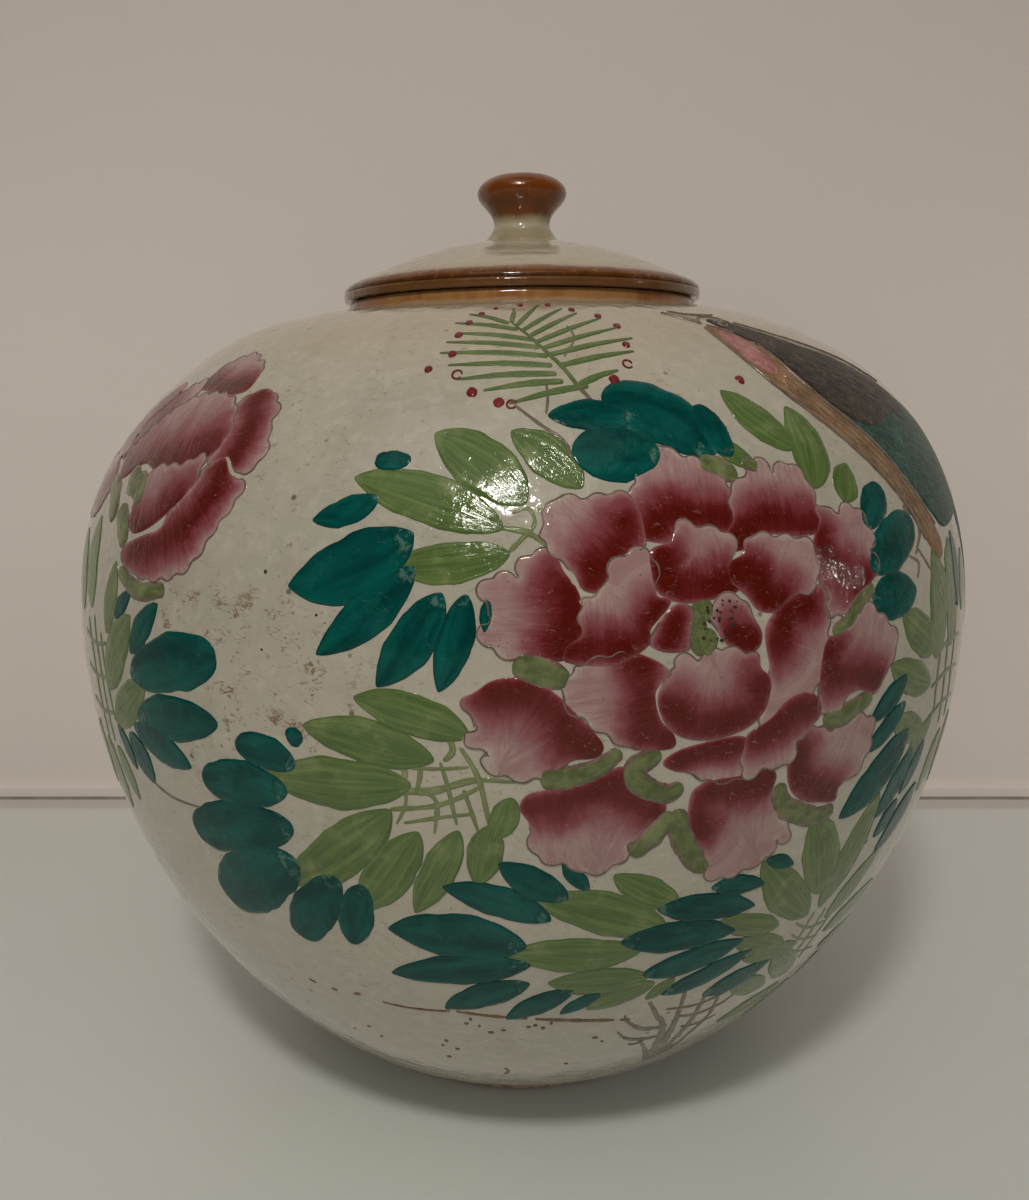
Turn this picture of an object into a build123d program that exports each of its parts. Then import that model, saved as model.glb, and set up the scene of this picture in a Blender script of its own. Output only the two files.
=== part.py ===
from build123d import *
from math import acos, asin, cos, degrees, radians, sin
import os

# Lidded ginger jar: a globular jar thrown in two sections and joined at the belly, and a low
# domed lid with a seating flange underneath and a button knob on top.
# Millimetres, +Z up. The origin is on the surface the foot stands on, on the jar's axis.

# Jar body
belly_radius = 115.0
belly_height = 123.0
wall = 5.0

# The outline below the belly is one arc that turns in to the foot on a tighter one, and above
# the belly it is a chain of tangent arcs.
lower_arc, lower_sweep = 146.0, 47.0
foot_arc, foot_sweep = 55.0, 23.0
belly_arc, belly_sweep = 98.0, 9.0
shoulder_arc, shoulder_sweep = 70.5, 67.5
top_arc = 118.0

# Foot
foot_radius = 49.0
foot_width = 6.5
foot_rounding = 1.2
recess_radius = 41.5
recess_depth = 6.0
floor_height = 13.0
floor_blend = 18.0

# Mouth
mouth_radius = 45.8
mouth_bore = 38.5
mouth_height = 201.0
mouth_rounding = 1.3

# Lid, with heights above the mouth
lid_radius = 47.3
lid_wall = 4.5
rim_height = 2.0
rim_rounding = 0.6
shoulder_radius = 45.2
shoulder_height = 4.1
dome_arc = 92.0
seat_radius = 10.2
seat_height = 15.5
hollow_height = 4.5
hollow_rounding = 1.5

# Seating flange under the lid
flange_radius = 37.2
flange_bore = 33.5
flange_depth = 8.0
flange_rounding = 1.0

# Knob outline, as radius and height above its seat on the dome
knob_neck = (7.3, 4.2)
knob_flare = (9.8, 8.6)
knob_widest = (11.7, 12.0)
knob_edge = (8.6, 15.5)
knob_top = (0, 16.8)

# Centres of the outline's arcs, each on the line through the end of the arc before it
lower_centre = (belly_radius - lower_arc, belly_height)
lower_turn = radians(lower_sweep)
foot_centre = (
    lower_centre[0] + (lower_arc - foot_arc) * cos(lower_turn),
    lower_centre[1] - (lower_arc - foot_arc) * sin(lower_turn),
)
belly_centre = (belly_radius - belly_arc, belly_height)
shoulder_turn = radians(belly_sweep)
shoulder_centre = (
    belly_centre[0] + (belly_arc - shoulder_arc) * cos(shoulder_turn),
    belly_centre[1] + (belly_arc - shoulder_arc) * sin(shoulder_turn),
)
top_turn = radians(belly_sweep + shoulder_sweep)
top_centre = (
    shoulder_centre[0] + (shoulder_arc - top_arc) * cos(top_turn),
    shoulder_centre[1] + (shoulder_arc - top_arc) * sin(top_turn),
)


def draw_outside_below():
    """Draw the lower outline and return its end above the foot."""
    CenterArc(lower_centre, lower_arc, 0, -lower_sweep)
    return CenterArc(foot_centre, foot_arc, -lower_sweep, -foot_sweep) @ 1


def draw_inside_below(end_height):
    """Draw the inside of the lower section and return its end at end_height."""
    radius = lower_arc - wall
    sweep = degrees(asin((belly_height - end_height) / radius))
    return CenterArc(lower_centre, radius, 0, -sweep) @ 1


def draw_above_belly(inset, end_radius):
    """Draw the upper outline, moved in by inset, and return its end at end_radius."""
    radius = top_arc - inset
    sweep = degrees(acos((end_radius - top_centre[0]) / radius) - top_turn)
    CenterArc(belly_centre, belly_arc - inset, 0, belly_sweep)
    CenterArc(shoulder_centre, shoulder_arc - inset, belly_sweep, shoulder_sweep)
    return CenterArc(top_centre, radius, belly_sweep + shoulder_sweep, sweep) @ 1


def corners(sketch, *points):
    """The sketch's corners nearest to the given points."""
    return [sketch.vertices().sort_by_distance(point)[0] for point in points]


# Lower section: the bowl of the jar, its floor and the turned foot ring
with BuildPart() as jar_lower_section:
    with BuildSketch(Plane.XZ) as profile:
        with BuildLine():
            outside_end = draw_outside_below()
            foot_outer = (foot_radius, 0)
            foot_inner = (foot_radius - foot_width, 0)
            Polyline(
                outside_end,
                foot_outer,
                foot_inner,
                (recess_radius, recess_depth),
                (0, recess_depth),
                (0, floor_height),
            )
            inside_end = draw_inside_below(floor_height)
            Line((0, floor_height), inside_end)
            Line((belly_radius - wall, belly_height), (belly_radius, belly_height))
        make_face()
        fillet(corners(profile, inside_end), floor_blend)
        fillet(corners(profile, foot_outer, foot_inner), foot_rounding)
    revolve(axis=Axis.Z)

# Upper section: the shoulder and the low raised mouth
with BuildPart() as jar_upper_section:
    with BuildSketch(Plane.XZ) as profile:
        with BuildLine():
            mouth_edge = (mouth_radius, mouth_height)
            bore_edge = (mouth_bore, mouth_height)
            outside_end = draw_above_belly(0, mouth_radius)
            inside_end = draw_above_belly(wall, mouth_bore)
            Polyline(outside_end, mouth_edge, bore_edge, inside_end)
            Line((belly_radius - wall, belly_height), (belly_radius, belly_height))
        make_face()
        fillet(corners(profile, mouth_edge, bore_edge), mouth_rounding)
    revolve(axis=Axis.Z)

# Lid: a low dome that rests on the mouth, with a flat seat for the knob
seat_level = mouth_height + seat_height
with BuildPart() as lid_dome:
    with BuildSketch(Plane.XZ) as profile:
        with BuildLine():
            seat_edge = (seat_radius, seat_level)
            shoulder = (shoulder_radius, mouth_height + shoulder_height)
            rim_top = (lid_radius, mouth_height + rim_height)
            rim_bottom = (lid_radius, mouth_height)
            hollow_bottom = (flange_bore, mouth_height)
            hollow_edge = (flange_bore, mouth_height + hollow_height)
            hollow_top = (0, seat_level - lid_wall)
            dome = RadiusArc(seat_edge, shoulder, dome_arc)
            TangentArc(shoulder, rim_top, tangent=dome % 1)
            Polyline(rim_top, rim_bottom, hollow_bottom, hollow_edge)
            TangentArc(hollow_top, hollow_edge, tangent=(1, 0))
            Polyline(hollow_top, (0, seat_level), seat_edge)
        make_face()
        fillet(corners(profile, rim_bottom), rim_rounding)
        fillet(corners(profile, hollow_edge), hollow_rounding)
    revolve(axis=Axis.Z)

# Seating flange: the ring under the lid that drops into the mouth and keeps the lid centred
with BuildPart() as lid_flange:
    with BuildSketch(Plane.XY.offset(mouth_height - flange_depth)):
        Circle(flange_radius)
        Circle(flange_bore, mode=Mode.SUBTRACT)
    extrude(amount=flange_depth)
    fillet(lid_flange.edges().group_by(Axis.Z)[0], flange_rounding)

# Knob: a button that flares from a coved neck to a rounded, almost flat top
with BuildPart() as lid_knob:
    with BuildSketch(Plane((0, 0, seat_level), x_dir=(1, 0, 0), z_dir=(0, -1, 0))):
        with BuildLine():
            knob_base = (seat_radius, 0)
            TangentArc(knob_neck, knob_base, tangent=(0, -1))
            neck = TangentArc(knob_neck, knob_flare, tangent=(0, 1))
            TangentArc(knob_flare, knob_widest, tangent=neck % 1)
            TangentArc(knob_widest, knob_edge, tangent=(0, 1))
            TangentArc(knob_top, knob_edge, tangent=(1, 0))
            Polyline(knob_top, (0, 0), knob_base)
        make_face()
    revolve(axis=Axis.Z)

os.makedirs("parts", exist_ok=True)

jar_lower_section.part.label = "jar_lower_section"
export_step(jar_lower_section.part, "parts/jar_lower_section.step")

jar_upper_section.part.label = "jar_upper_section"
export_step(jar_upper_section.part, "parts/jar_upper_section.step")

lid_dome.part.label = "lid_dome"
export_step(lid_dome.part, "parts/lid_dome.step")

lid_flange.part.label = "lid_flange"
export_step(lid_flange.part, "parts/lid_flange.step")

lid_knob.part.label = "lid_knob"
export_step(lid_knob.part, "parts/lid_knob.step")
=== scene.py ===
import math
import bpy
import numpy as np
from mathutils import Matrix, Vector
from mathutils.geometry import delaunay_2d_cdt


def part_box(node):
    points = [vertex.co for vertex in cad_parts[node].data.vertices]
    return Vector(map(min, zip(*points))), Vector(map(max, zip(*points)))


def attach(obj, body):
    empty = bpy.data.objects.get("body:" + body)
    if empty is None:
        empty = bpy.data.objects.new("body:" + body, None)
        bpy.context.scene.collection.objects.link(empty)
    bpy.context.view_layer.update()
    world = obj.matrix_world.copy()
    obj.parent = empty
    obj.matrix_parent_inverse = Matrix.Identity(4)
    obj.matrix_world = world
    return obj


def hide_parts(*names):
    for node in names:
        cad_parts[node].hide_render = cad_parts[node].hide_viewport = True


# The looks of a lidded ginger jar with raised enamel painting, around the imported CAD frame.
# Jar measures are in millimetres and Blender objects in metres. A place on the jar is written
# as (azimuth, s): degrees round the jar from the front, to the viewer's right, and millimetres
# along the outline up from the belly.

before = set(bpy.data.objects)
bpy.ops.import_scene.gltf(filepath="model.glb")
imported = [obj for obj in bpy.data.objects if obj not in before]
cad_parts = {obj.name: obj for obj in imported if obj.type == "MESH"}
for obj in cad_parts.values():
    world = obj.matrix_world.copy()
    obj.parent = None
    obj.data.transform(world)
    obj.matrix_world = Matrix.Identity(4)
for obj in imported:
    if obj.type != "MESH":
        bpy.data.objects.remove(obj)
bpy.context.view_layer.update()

MM = 0.001
HIGH = 1

# The outline, as in the CAD: two tangent arcs below the belly and three above it
BELLY_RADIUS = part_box("jar_lower_section")[HIGH].x / MM
BELLY_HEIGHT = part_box("jar_lower_section")[HIGH].z / MM
MOUTH_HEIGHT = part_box("jar_upper_section")[HIGH].z / MM
WALL = 5.0
FOOT_ARC, LOWER_ARC, BELLY_ARC, SHOULDER_ARC, TOP_ARC = 55.0, 146.0, 98.0, 70.5, 118.0
LOWER_SWEEP, FOOT_SWEEP = math.radians(47.0), math.radians(23.0)
BELLY_SWEEP, SHOULDER_SWEEP = math.radians(9.0), math.radians(67.5)
SHOULDER_START = BELLY_ARC * BELLY_SWEEP
TOP_START = SHOULDER_START + SHOULDER_ARC * SHOULDER_SWEEP
TOP_TURN = BELLY_SWEEP + SHOULDER_SWEEP
FOOT_START = -LOWER_ARC * LOWER_SWEEP
FOOT_TOP = FOOT_START - FOOT_ARC * FOOT_SWEEP
MOUTH_FOOT = 113.5

# The pot is slightly out of round: the right shoulder stands out and the mouth leans with it
SHOULDER_WARP = 1.7
WARP_MIDDLE, WARP_SPREAD = 65.0, 28.0
MOUTH_LEAN = 0.012
LEAN_START, LEAN_END = 80.0, 110.0

# Chart millimetres to a degree at the belly, used to draw the painting on a flat chart
CHART = 2.0


def stepped(centre, radius, turn):
    """The centre of the next arc, on the line through the end of this one."""
    return (centre[0] + radius * math.cos(turn), centre[1] + radius * math.sin(turn))


LOWER_CENTRE = (BELLY_RADIUS - LOWER_ARC, BELLY_HEIGHT)
FOOT_CENTRE = stepped(LOWER_CENTRE, LOWER_ARC - FOOT_ARC, -LOWER_SWEEP)
BELLY_CENTRE = (BELLY_RADIUS - BELLY_ARC, BELLY_HEIGHT)
SHOULDER_CENTRE = stepped(BELLY_CENTRE, BELLY_ARC - SHOULDER_ARC, BELLY_SWEEP)
TOP_CENTRE = stepped(SHOULDER_CENTRE, SHOULDER_ARC - TOP_ARC, TOP_TURN)


def outline(s):
    """Radius, height and outward direction of the outside at s, as four arrays."""
    s = np.asarray(s, float)
    parts = [s < FOOT_START, s < 0, s < SHOULDER_START, s < TOP_START]
    angle = np.select(
        parts,
        [
            -LOWER_SWEEP + (s - FOOT_START) / FOOT_ARC,
            s / LOWER_ARC,
            s / BELLY_ARC,
            BELLY_SWEEP + (s - SHOULDER_START) / SHOULDER_ARC,
        ],
        TOP_TURN + (s - TOP_START) / TOP_ARC,
    )
    arcs = (FOOT_ARC, LOWER_ARC, BELLY_ARC, SHOULDER_ARC)
    centres = (FOOT_CENTRE, LOWER_CENTRE, BELLY_CENTRE, SHOULDER_CENTRE)
    radius = np.select(parts, arcs, TOP_ARC)
    centre_r = np.select(parts, [c[0] for c in centres], TOP_CENTRE[0])
    centre_z = np.select(parts, [c[1] for c in centres], TOP_CENTRE[1])
    across, up = np.cos(angle), np.sin(angle)
    return centre_r + radius * across, centre_z + radius * up, across, up


def smooth(value, start, end):
    """0 before start, 1 after end, and a smooth step between them."""
    t = np.clip((np.asarray(value, float) - start) / (end - start), 0, 1)
    return t * t * (3 - 2 * t)


def warp_of(s):
    """How far the out-of-round shoulder stands out at s, in millimetres."""
    return SHOULDER_WARP * np.exp(-(((np.asarray(s, float) - WARP_MIDDLE) / WARP_SPREAD) ** 2))


def lean_of(s):
    """How much of the mouth's lean applies at s."""
    return MOUTH_LEAN * smooth(s, LEAN_START, LEAN_END)


def place(radius, height, warp, lean, azimuth):
    """Points in metres for profile values and azimuths in degrees, with the warp and lean."""
    turn = np.radians(azimuth)
    side = np.sin(turn)
    r = radius + warp * side
    z = height + lean * radius * side
    return np.stack([r * side, -r * np.cos(turn), z], -1) * MM


def on_jar(azimuth, s, lift):
    """Points in metres on the jar's outside, raised by lift millimetres."""
    r, z, across, up = outline(s)
    return place(r + lift * across, z + lift * up, warp_of(s), lean_of(s), azimuth)


# Turned pieces


def arc_points(centre, radius, start, end, count):
    """Points on an arc from start to end, in degrees."""
    angles = np.radians(np.linspace(start, end, count))
    return [(centre[0] + radius * math.cos(a), centre[1] + radius * math.sin(a)) for a in angles]


EASED_POINTS = 6


def eased(before, corner, after, radius):
    """Points that round off a corner between two straight lines."""
    p, c, q = (np.array(x, float) for x in (before, corner, after))
    u, v = (p - c) / np.linalg.norm(p - c), (q - c) / np.linalg.norm(q - c)
    half = math.acos(np.clip(np.dot(u, v), -1, 1)) / 2
    reach = radius / math.tan(half)
    start, end = c + u * reach, c + v * reach
    middle = c + (u + v) / np.linalg.norm(u + v) * radius / math.sin(half)
    steps = np.linspace(0, 1, EASED_POINTS)
    arms = [(start - middle) * (1 - t) + (end - middle) * t for t in steps]
    return [tuple(middle + a / np.linalg.norm(a) * radius) for a in arms]


def dense(points, step):
    """The same line with no two points further apart than step."""
    made = [points[0]]
    for a, b in zip(points, points[1:]):
        count = max(1, math.ceil(math.dist(a, b) / step))
        made += [tuple(np.array(a) + (np.array(b) - np.array(a)) * i / count) for i in range(1, count + 1)]
    return made


def turned(name, rows, around, smooth_angle=35.0):
    """A closed turned mesh from rows of (radius, height, warp, lean, run), run being the
    length along the profile that the materials read. A row of radius 0 becomes one point."""
    azimuths = np.linspace(-180, 180, around, endpoint=False)
    points, run, rings = [], [], []
    for radius, height, warp, lean, along in rows:
        single = radius < 1e-6
        at = azimuths[:1] if single else azimuths
        start = sum(len(p) for p in points)
        rings.append([start] * around if single else list(range(start, start + around)))
        points.append(place(radius, height, warp, lean, at))
        run += [along] * len(at)
    faces = []
    loop = list(zip(rings, rings[1:] + rings[:1]))
    for low, high in loop:
        if low[0] == low[1] and high[0] == high[1]:
            continue
        for i in range(around):
            j = (i + 1) % around
            corner = [low[i], low[j], high[j], high[i]]
            faces.append(tuple(dict.fromkeys(corner)))
    made = mesh_object(name, np.concatenate(points), faces)
    attribute = made.data.attributes.new("run", "FLOAT", "POINT")
    attribute.data.foreach_set("value", np.array(run, np.float32))
    made.data.set_sharp_from_angle(angle=math.radians(smooth_angle))
    return made


def mesh_object(name, points, faces):
    """A smooth-shaded mesh object, linked to the scene."""
    mesh = bpy.data.meshes.new(name)
    mesh.from_pydata(points.tolist(), [], faces)
    mesh.polygons.foreach_set("use_smooth", [True] * len(mesh.polygons))
    made = bpy.data.objects.new(name, mesh)
    bpy.context.scene.collection.objects.link(made)
    return made


def add_runs(points, start, sign):
    """Rows of a profile with the length along it as run, and no warp or lean."""
    rows, run = [], start
    for i, (r, z) in enumerate(points):
        if i:
            run += sign * math.dist(points[i - 1], (r, z))
        rows.append((r, z, 0.0, 0.0, run))
    return rows


def shell_rows(start, end, inset, step, offset=0.0, sign=1.0):
    """Rows that follow the outline from s start to end, moved in by inset."""
    count = max(2, math.ceil(abs(end - start) / step) + 1)
    s = np.linspace(start, end, count)
    r, z, across, up = outline(s)
    r, z = r - inset * across, z - inset * up
    run = offset + sign * s
    return list(zip(r, z, warp_of(s), lean_of(s), run))


FOOT_RADIUS, FOOT_INNER, FOOT_ROUNDING = 49.0, 42.5, 1.2
RECESS_RADIUS, RECESS_DEPTH, RECESS_CROWN = 41.5, 6.0, 0.6
FLOOR_HEIGHT, FLOOR_BLEND = 13.0, 18.0
BLEND_CENTRE = (50.64, 31.0)
BLEND_ANGLE = -48.41
INNER_START = math.radians(BLEND_ANGLE) * LOWER_ARC
SEAM_STEP, INSIDE_STEP = 0.25, 2.4
INSIDE_RUN, BOWL_RUN = 400.0, 600.0
JAR_AROUND, LID_AROUND, FLANGE_AROUND, KNOB_AROUND = 360, 300, 240, 160


def lower_section():
    """The bowl of the jar with its turned foot ring, recessed base and inside."""
    rows = shell_rows(0.0, -3.0, 0, SEAM_STEP) + shell_rows(-4.0, FOOT_TOP, 0, 1.4)
    top = (rows[-1][0], rows[-1][1])
    outer, inner = (FOOT_RADIUS, 0.0), (FOOT_INNER, 0.0)
    recess = (RECESS_RADIUS, RECESS_DEPTH)
    top_of_recess = RECESS_DEPTH + RECESS_CROWN
    centre = (0.0, top_of_recess)
    foot = [top]
    foot += eased(top, outer, inner, FOOT_ROUNDING)
    foot += eased(outer, inner, recess, FOOT_ROUNDING)
    foot += eased(inner, recess, centre, 0.7)
    foot += [(r, top_of_recess - RECESS_CROWN * (r / RECESS_RADIUS) ** 2) for r in (38, 30, 22, 14, 7, 0)]
    rows += add_runs(dense(foot, 0.9), FOOT_TOP, -1.0)[1:]
    floor = [(0.0, FLOOR_HEIGHT)]
    floor += arc_points(BLEND_CENTRE, FLOOR_BLEND, -90, BLEND_ANGLE, 16)
    rows += add_runs(dense(floor, 4.0), INSIDE_RUN, 1.0)
    rows += shell_rows(INNER_START, 0.0, WALL, INSIDE_STEP, BOWL_RUN)[1:]
    return turned("jar_lower", rows, JAR_AROUND)


MOUTH_RADIUS, MOUTH_BORE, MOUTH_ROUNDING = 45.8, 38.5, 1.3


def upper_section():
    """The shoulder with its low raised mouth, and the inside."""
    rows = shell_rows(0.0, 3.0, 0, SEAM_STEP) + shell_rows(4.0, MOUTH_FOOT, 0, 1.1)
    foot = (rows[-1][0], rows[-1][1])
    outer, inner = (MOUTH_RADIUS, MOUTH_HEIGHT), (MOUTH_BORE, MOUTH_HEIGHT)
    inside = shell_rows(TOP_START, 120.0, WALL, 0.5)
    inside = [row for row in inside if row[0] >= MOUTH_BORE]
    bore_end = (MOUTH_BORE, inside[-1][1])
    mouth = [foot, (foot[0] - 0.05, foot[1] + 0.5)]
    mouth += eased(foot, outer, inner, MOUTH_ROUNDING)
    mouth += eased(outer, inner, bore_end, MOUTH_ROUNDING)
    mouth += [bore_end]
    ring = add_runs(dense(mouth, 0.8), MOUTH_FOOT, 1.0)[1:]
    rows += [(r, z, 0.0, MOUTH_LEAN, run) for r, z, _, _, run in ring]
    rows += [(r, z, w, k, INSIDE_RUN) for r, z, w, k, _ in reversed(inside[:-1])][::3]
    rows += [(r, z, w, k, INSIDE_RUN) for r, z, w, k, _ in shell_rows(TOP_START - 2, 0.0, WALL, INSIDE_STEP)]
    return turned("jar_upper", rows, JAR_AROUND)


SEAT_RADIUS, SEAT_HEIGHT = 10.2, 15.5
LID_GAP = 0.07
FLANGE_RADIUS, FLANGE_BORE, FLANGE_DEPTH = 37.2, 33.5, 8.0


def lean_rows(points):
    """Rows of a lid piece, which leans with the mouth."""
    return [(r, z, 0.0, MOUTH_LEAN, run) for r, z, _, _, run in add_runs(points, 0.0, 1.0)]


def lid_dome():
    """The low dome: a thin upright lip, a groove, a soft rolled edge and the dome above."""
    base = MOUTH_HEIGHT
    lip = [(46.95, base + 0.9), (47.05, base + 1.4), (46.95, base + 1.85)]
    groove = [(46.7, base + 2.02), (46.55, base + 2.12), (46.6, base + 2.26), (46.8, base + 2.36)]
    roll = [(46.85, base + 2.6), (46.65, base + 3.05), (46.2, base + 3.55), (45.5, base + 4.05)]
    roll += [(44.6, base + 4.5), (43.2, base + 5.05)]
    dome_line = [(40.5, 6.3), (37.5, 7.65), (34.5, 8.85), (32.0, 9.85), (29.5, 10.7)]
    dome_line += [(27.0, 11.5), (24.0, 12.35), (21.3, 13.05), (18.0, 13.8), (14.5, 14.55), (11.5, 15.2)]
    dome_line += [(SEAT_RADIUS, SEAT_HEIGHT)]
    rim = eased((FLANGE_BORE, base + LID_GAP), (46.9, base + LID_GAP), (46.9, base + 1.7), 0.4)
    points = [(0.0, base + 11.0), (8.0, base + 10.8), (16.0, base + 10.0), (23.0, base + 8.6)]
    points += [(29.0, base + 6.5), (32.4, base + 4.6), (FLANGE_BORE, base + 3.2)]
    points += [(FLANGE_BORE, base + LID_GAP)]
    points += rim + lip + groove
    curve = resample(np.array(roll + [(r, base + h) for r, h in dome_line]), 0.5)
    points += [(float(r), float(z)) for r, z in curve]
    points += [(0.0, base + SEAT_HEIGHT)]
    return turned("lid_dome_glazed", lean_rows(dense(points, 0.8)), LID_AROUND, 50)


def lid_flange():
    """The biscuit ring under the lid that drops into the mouth."""
    top, bottom = MOUTH_HEIGHT, MOUTH_HEIGHT - FLANGE_DEPTH
    outer, inner = (FLANGE_RADIUS, bottom), (FLANGE_BORE, bottom)
    points = [(FLANGE_RADIUS, top)]
    points += [(FLANGE_RADIUS - 0.12, top - 2.0), (FLANGE_RADIUS, top - 3.2)]
    points += [(FLANGE_RADIUS - 0.15, top - 5.4)]
    points += eased((FLANGE_RADIUS, top), outer, inner, 1.0)
    points += eased(outer, inner, (FLANGE_BORE, top), 1.0)
    points += [(FLANGE_BORE, top)]
    return turned("lid_flange_biscuit", lean_rows(dense(points, 0.5)), FLANGE_AROUND)


def lid_knob():
    """The button knob on its coved neck, turned with a faint hollow on top."""
    seat = MOUTH_HEIGHT + SEAT_HEIGHT
    side = [(10.6, -0.3), (9.6, 0.5), (8.7, 1.5), (7.95, 2.6), (7.45, 3.7), (7.35, 4.7), (7.6, 5.8)]
    side += [(8.15, 6.9), (8.9, 7.9), (9.8, 8.9), (10.7, 9.9), (11.35, 10.9), (11.68, 11.9)]
    side += [(11.6, 12.9), (11.2, 13.8), (10.5, 14.6), (9.5, 15.35), (8.2, 16.0), (6.6, 16.45)]
    side += [(4.8, 16.7), (3.0, 16.78), (1.4, 16.7), (0.0, 16.65)]
    curve = resample(np.array(side), 0.35)
    points = [(0.0, seat - 0.3)] + [(max(0.0, float(r)), seat + float(h)) for r, h in curve]
    points[-1] = (0.0, seat + side[-1][1])
    return turned("lid_knob_glazed", lean_rows(points), KNOB_AROUND, 50)


# Lines on the flat chart


def chart(places):
    """(azimuth, s) places as points on the chart, in millimetres."""
    return np.array(places, float).reshape(-1, 2) * (CHART, 1.0)


def spline(points, closed, per_span):
    """A Catmull-Rom curve through the points."""
    p = np.asarray(points, float)
    count = len(p)
    spans = count if closed else count - 1
    t = np.linspace(0, 1, per_span, endpoint=False)[:, None]
    made = []
    for i in range(spans):
        if closed:
            a, b, c, d = (p[(i + k) % count] for k in (-1, 0, 1, 2))
        else:
            b, c = p[i], p[i + 1]
            a = p[i - 1] if i else 2 * b - c
            d = p[i + 2] if i + 2 < count else 2 * c - b
        square, cube = 2 * a - 5 * b + 4 * c - d, 3 * b - a - 3 * c + d
        made.append(0.5 * (2 * b + (c - a) * t + square * t**2 + cube * t**3))
    if not closed:
        made.append(p[-1:])
    return np.concatenate(made)


def resample(points, step, closed=False):
    """The smooth curve through the points, as evenly spaced points."""
    fine = spline(points, closed, 24) if len(points) > 2 or closed else np.asarray(points, float)
    if closed:
        fine = np.concatenate([fine, fine[:1]])
    length = np.concatenate([[0], np.cumsum(np.linalg.norm(np.diff(fine, axis=0), axis=1))])
    count = max(2, round(length[-1] / step) + 1)
    at = np.linspace(0, length[-1], count)
    made = np.stack([np.interp(at, length, fine[:, k]) for k in (0, 1)], -1)
    return made[:-1] if closed else made


def to_line(points, path):
    """Distance from each point to a path, and the length along the path where it is nearest."""
    best = np.full(len(points), 1e9)
    along = np.zeros(len(points))
    start = 0.0
    for a, b in zip(path, path[1:]):
        step = b - a
        length = max(np.linalg.norm(step), 1e-9)
        t = np.clip((points - a) @ step / length**2, 0, 1)
        distance = np.linalg.norm(points - (a + t[:, None] * step), axis=1)
        nearer = distance < best
        best = np.where(nearer, distance, best)
        along = np.where(nearer, start + t * length, along)
        start += length
    return best, along


def normals_of(points, closed):
    """Unit vectors to the left of a line at each of its points."""
    if closed:
        step = np.roll(points, -1, 0) - np.roll(points, 1, 0)
    else:
        step = np.gradient(points, axis=0)
    step /= np.maximum(np.linalg.norm(step, axis=1), 1e-9)[:, None]
    return np.stack([-step[:, 1], step[:, 0]], -1)


def signed_area(points):
    """Positive for a loop that runs anticlockwise."""
    x, y = points[:, 0], points[:, 1]
    return 0.5 * np.sum(x * np.roll(y, -1) - np.roll(x, -1) * y)


def inside_loop(points, loop):
    """Which points are inside a closed loop."""
    x, y = points[:, 0][:, None], points[:, 1][:, None]
    x0, y0 = loop[:, 0], loop[:, 1]
    x1, y1 = np.roll(x0, -1), np.roll(y0, -1)
    between = (y0 > y) != (y1 > y)
    slope = np.where(y1 == y0, 1e-9, y1 - y0)
    crosses = between & (x < (x1 - x0) * (y - y0) / slope + x0)
    return crosses.sum(1) % 2 == 1


# Patches of raised enamel. SUNK is how far a patch's border dips under the glaze.
SUNK = -0.1
seeds = np.random.default_rng(7)


class Enamel:
    """Patches of one enamel, made into one mesh that lies on the jar."""

    def __init__(self, name, turn=0.0, mirror=False, scale=1.0, rise=0.0):
        self.name, self.turn, self.rise = name, turn, rise
        self.mirror, self.scale = mirror, scale
        self.points, self.lifts, self.faces = [], [], []
        self.paint, self.edge, self.count = [], [], 0

    def add(self, points, lifts, faces, paint, edge):
        """Add a patch: chart points, lifts in mm, faces, (along, across, seed) and a value."""
        points = np.asarray(points, float)
        self.points.append(points)
        self.lifts.append(np.broadcast_to(lifts, len(points)))
        self.paint.append(np.broadcast_to(paint, (len(points), 3)))
        self.edge.append(np.broadcast_to(edge, len(points)))
        self.faces += [tuple(i + self.count for i in face) for face in faces]
        self.count += len(points)

    def build(self, material, slot):
        """Lay the patches on the jar as one object."""
        points = np.concatenate(self.points)
        azimuth, s = points[:, 0] / CHART * self.scale, points[:, 1] * self.scale + self.rise
        azimuth = self.turn + (-azimuth if self.mirror else azimuth)
        faces = [tuple(reversed(f)) for f in self.faces] if self.mirror else self.faces
        made = mesh_object(self.name, on_jar(azimuth, s, np.concatenate(self.lifts)), faces)
        paint = made.data.attributes.new("paint", "FLOAT_VECTOR", "POINT")
        paint.data.foreach_set("vector", np.concatenate(self.paint).astype(np.float32).ravel())
        edge = made.data.attributes.new("edge", "FLOAT", "POINT")
        edge.data.foreach_set("value", np.concatenate(self.edge).astype(np.float32))
        made.data.materials.append(material)
        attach(made, "jar")
        return made


def grid_faces(rows, columns):
    """Faces of a grid of points, anticlockwise seen from outside."""
    corners = [r * columns + c for r in range(rows - 1) for c in range(columns - 1)]
    return [(i, i + 1, i + columns + 1, i + columns) for i in corners]


def ripple(values, seed, size):
    """A smooth unevenness made of three waves, from about -size to size."""
    a, b, c = 1.7 + seed % 1, 3.1 + (seed * 7) % 2, 6.3 + (seed * 3) % 2
    waves = np.sin(values * a + seed) + 0.6 * np.sin(values * b + seed * 2.3)
    return size * (waves + 0.4 * np.sin(values * c + seed * 5.1)) / 2


LEAF_WAVE = 0.07

# The powers that shape a leaf's ends: for a round one, and what a sharp one adds
BASE_POWER, BASE_SHARP = 0.48, 0.28
TIP_POWER, TIP_SHARP = 0.34, 0.56
LEAF_ACROSS = np.array([1.0, 0.955, 0.8, 0.55, 0.28, 0.0, -0.28, -0.55, -0.8, -0.955, -1.0])


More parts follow.
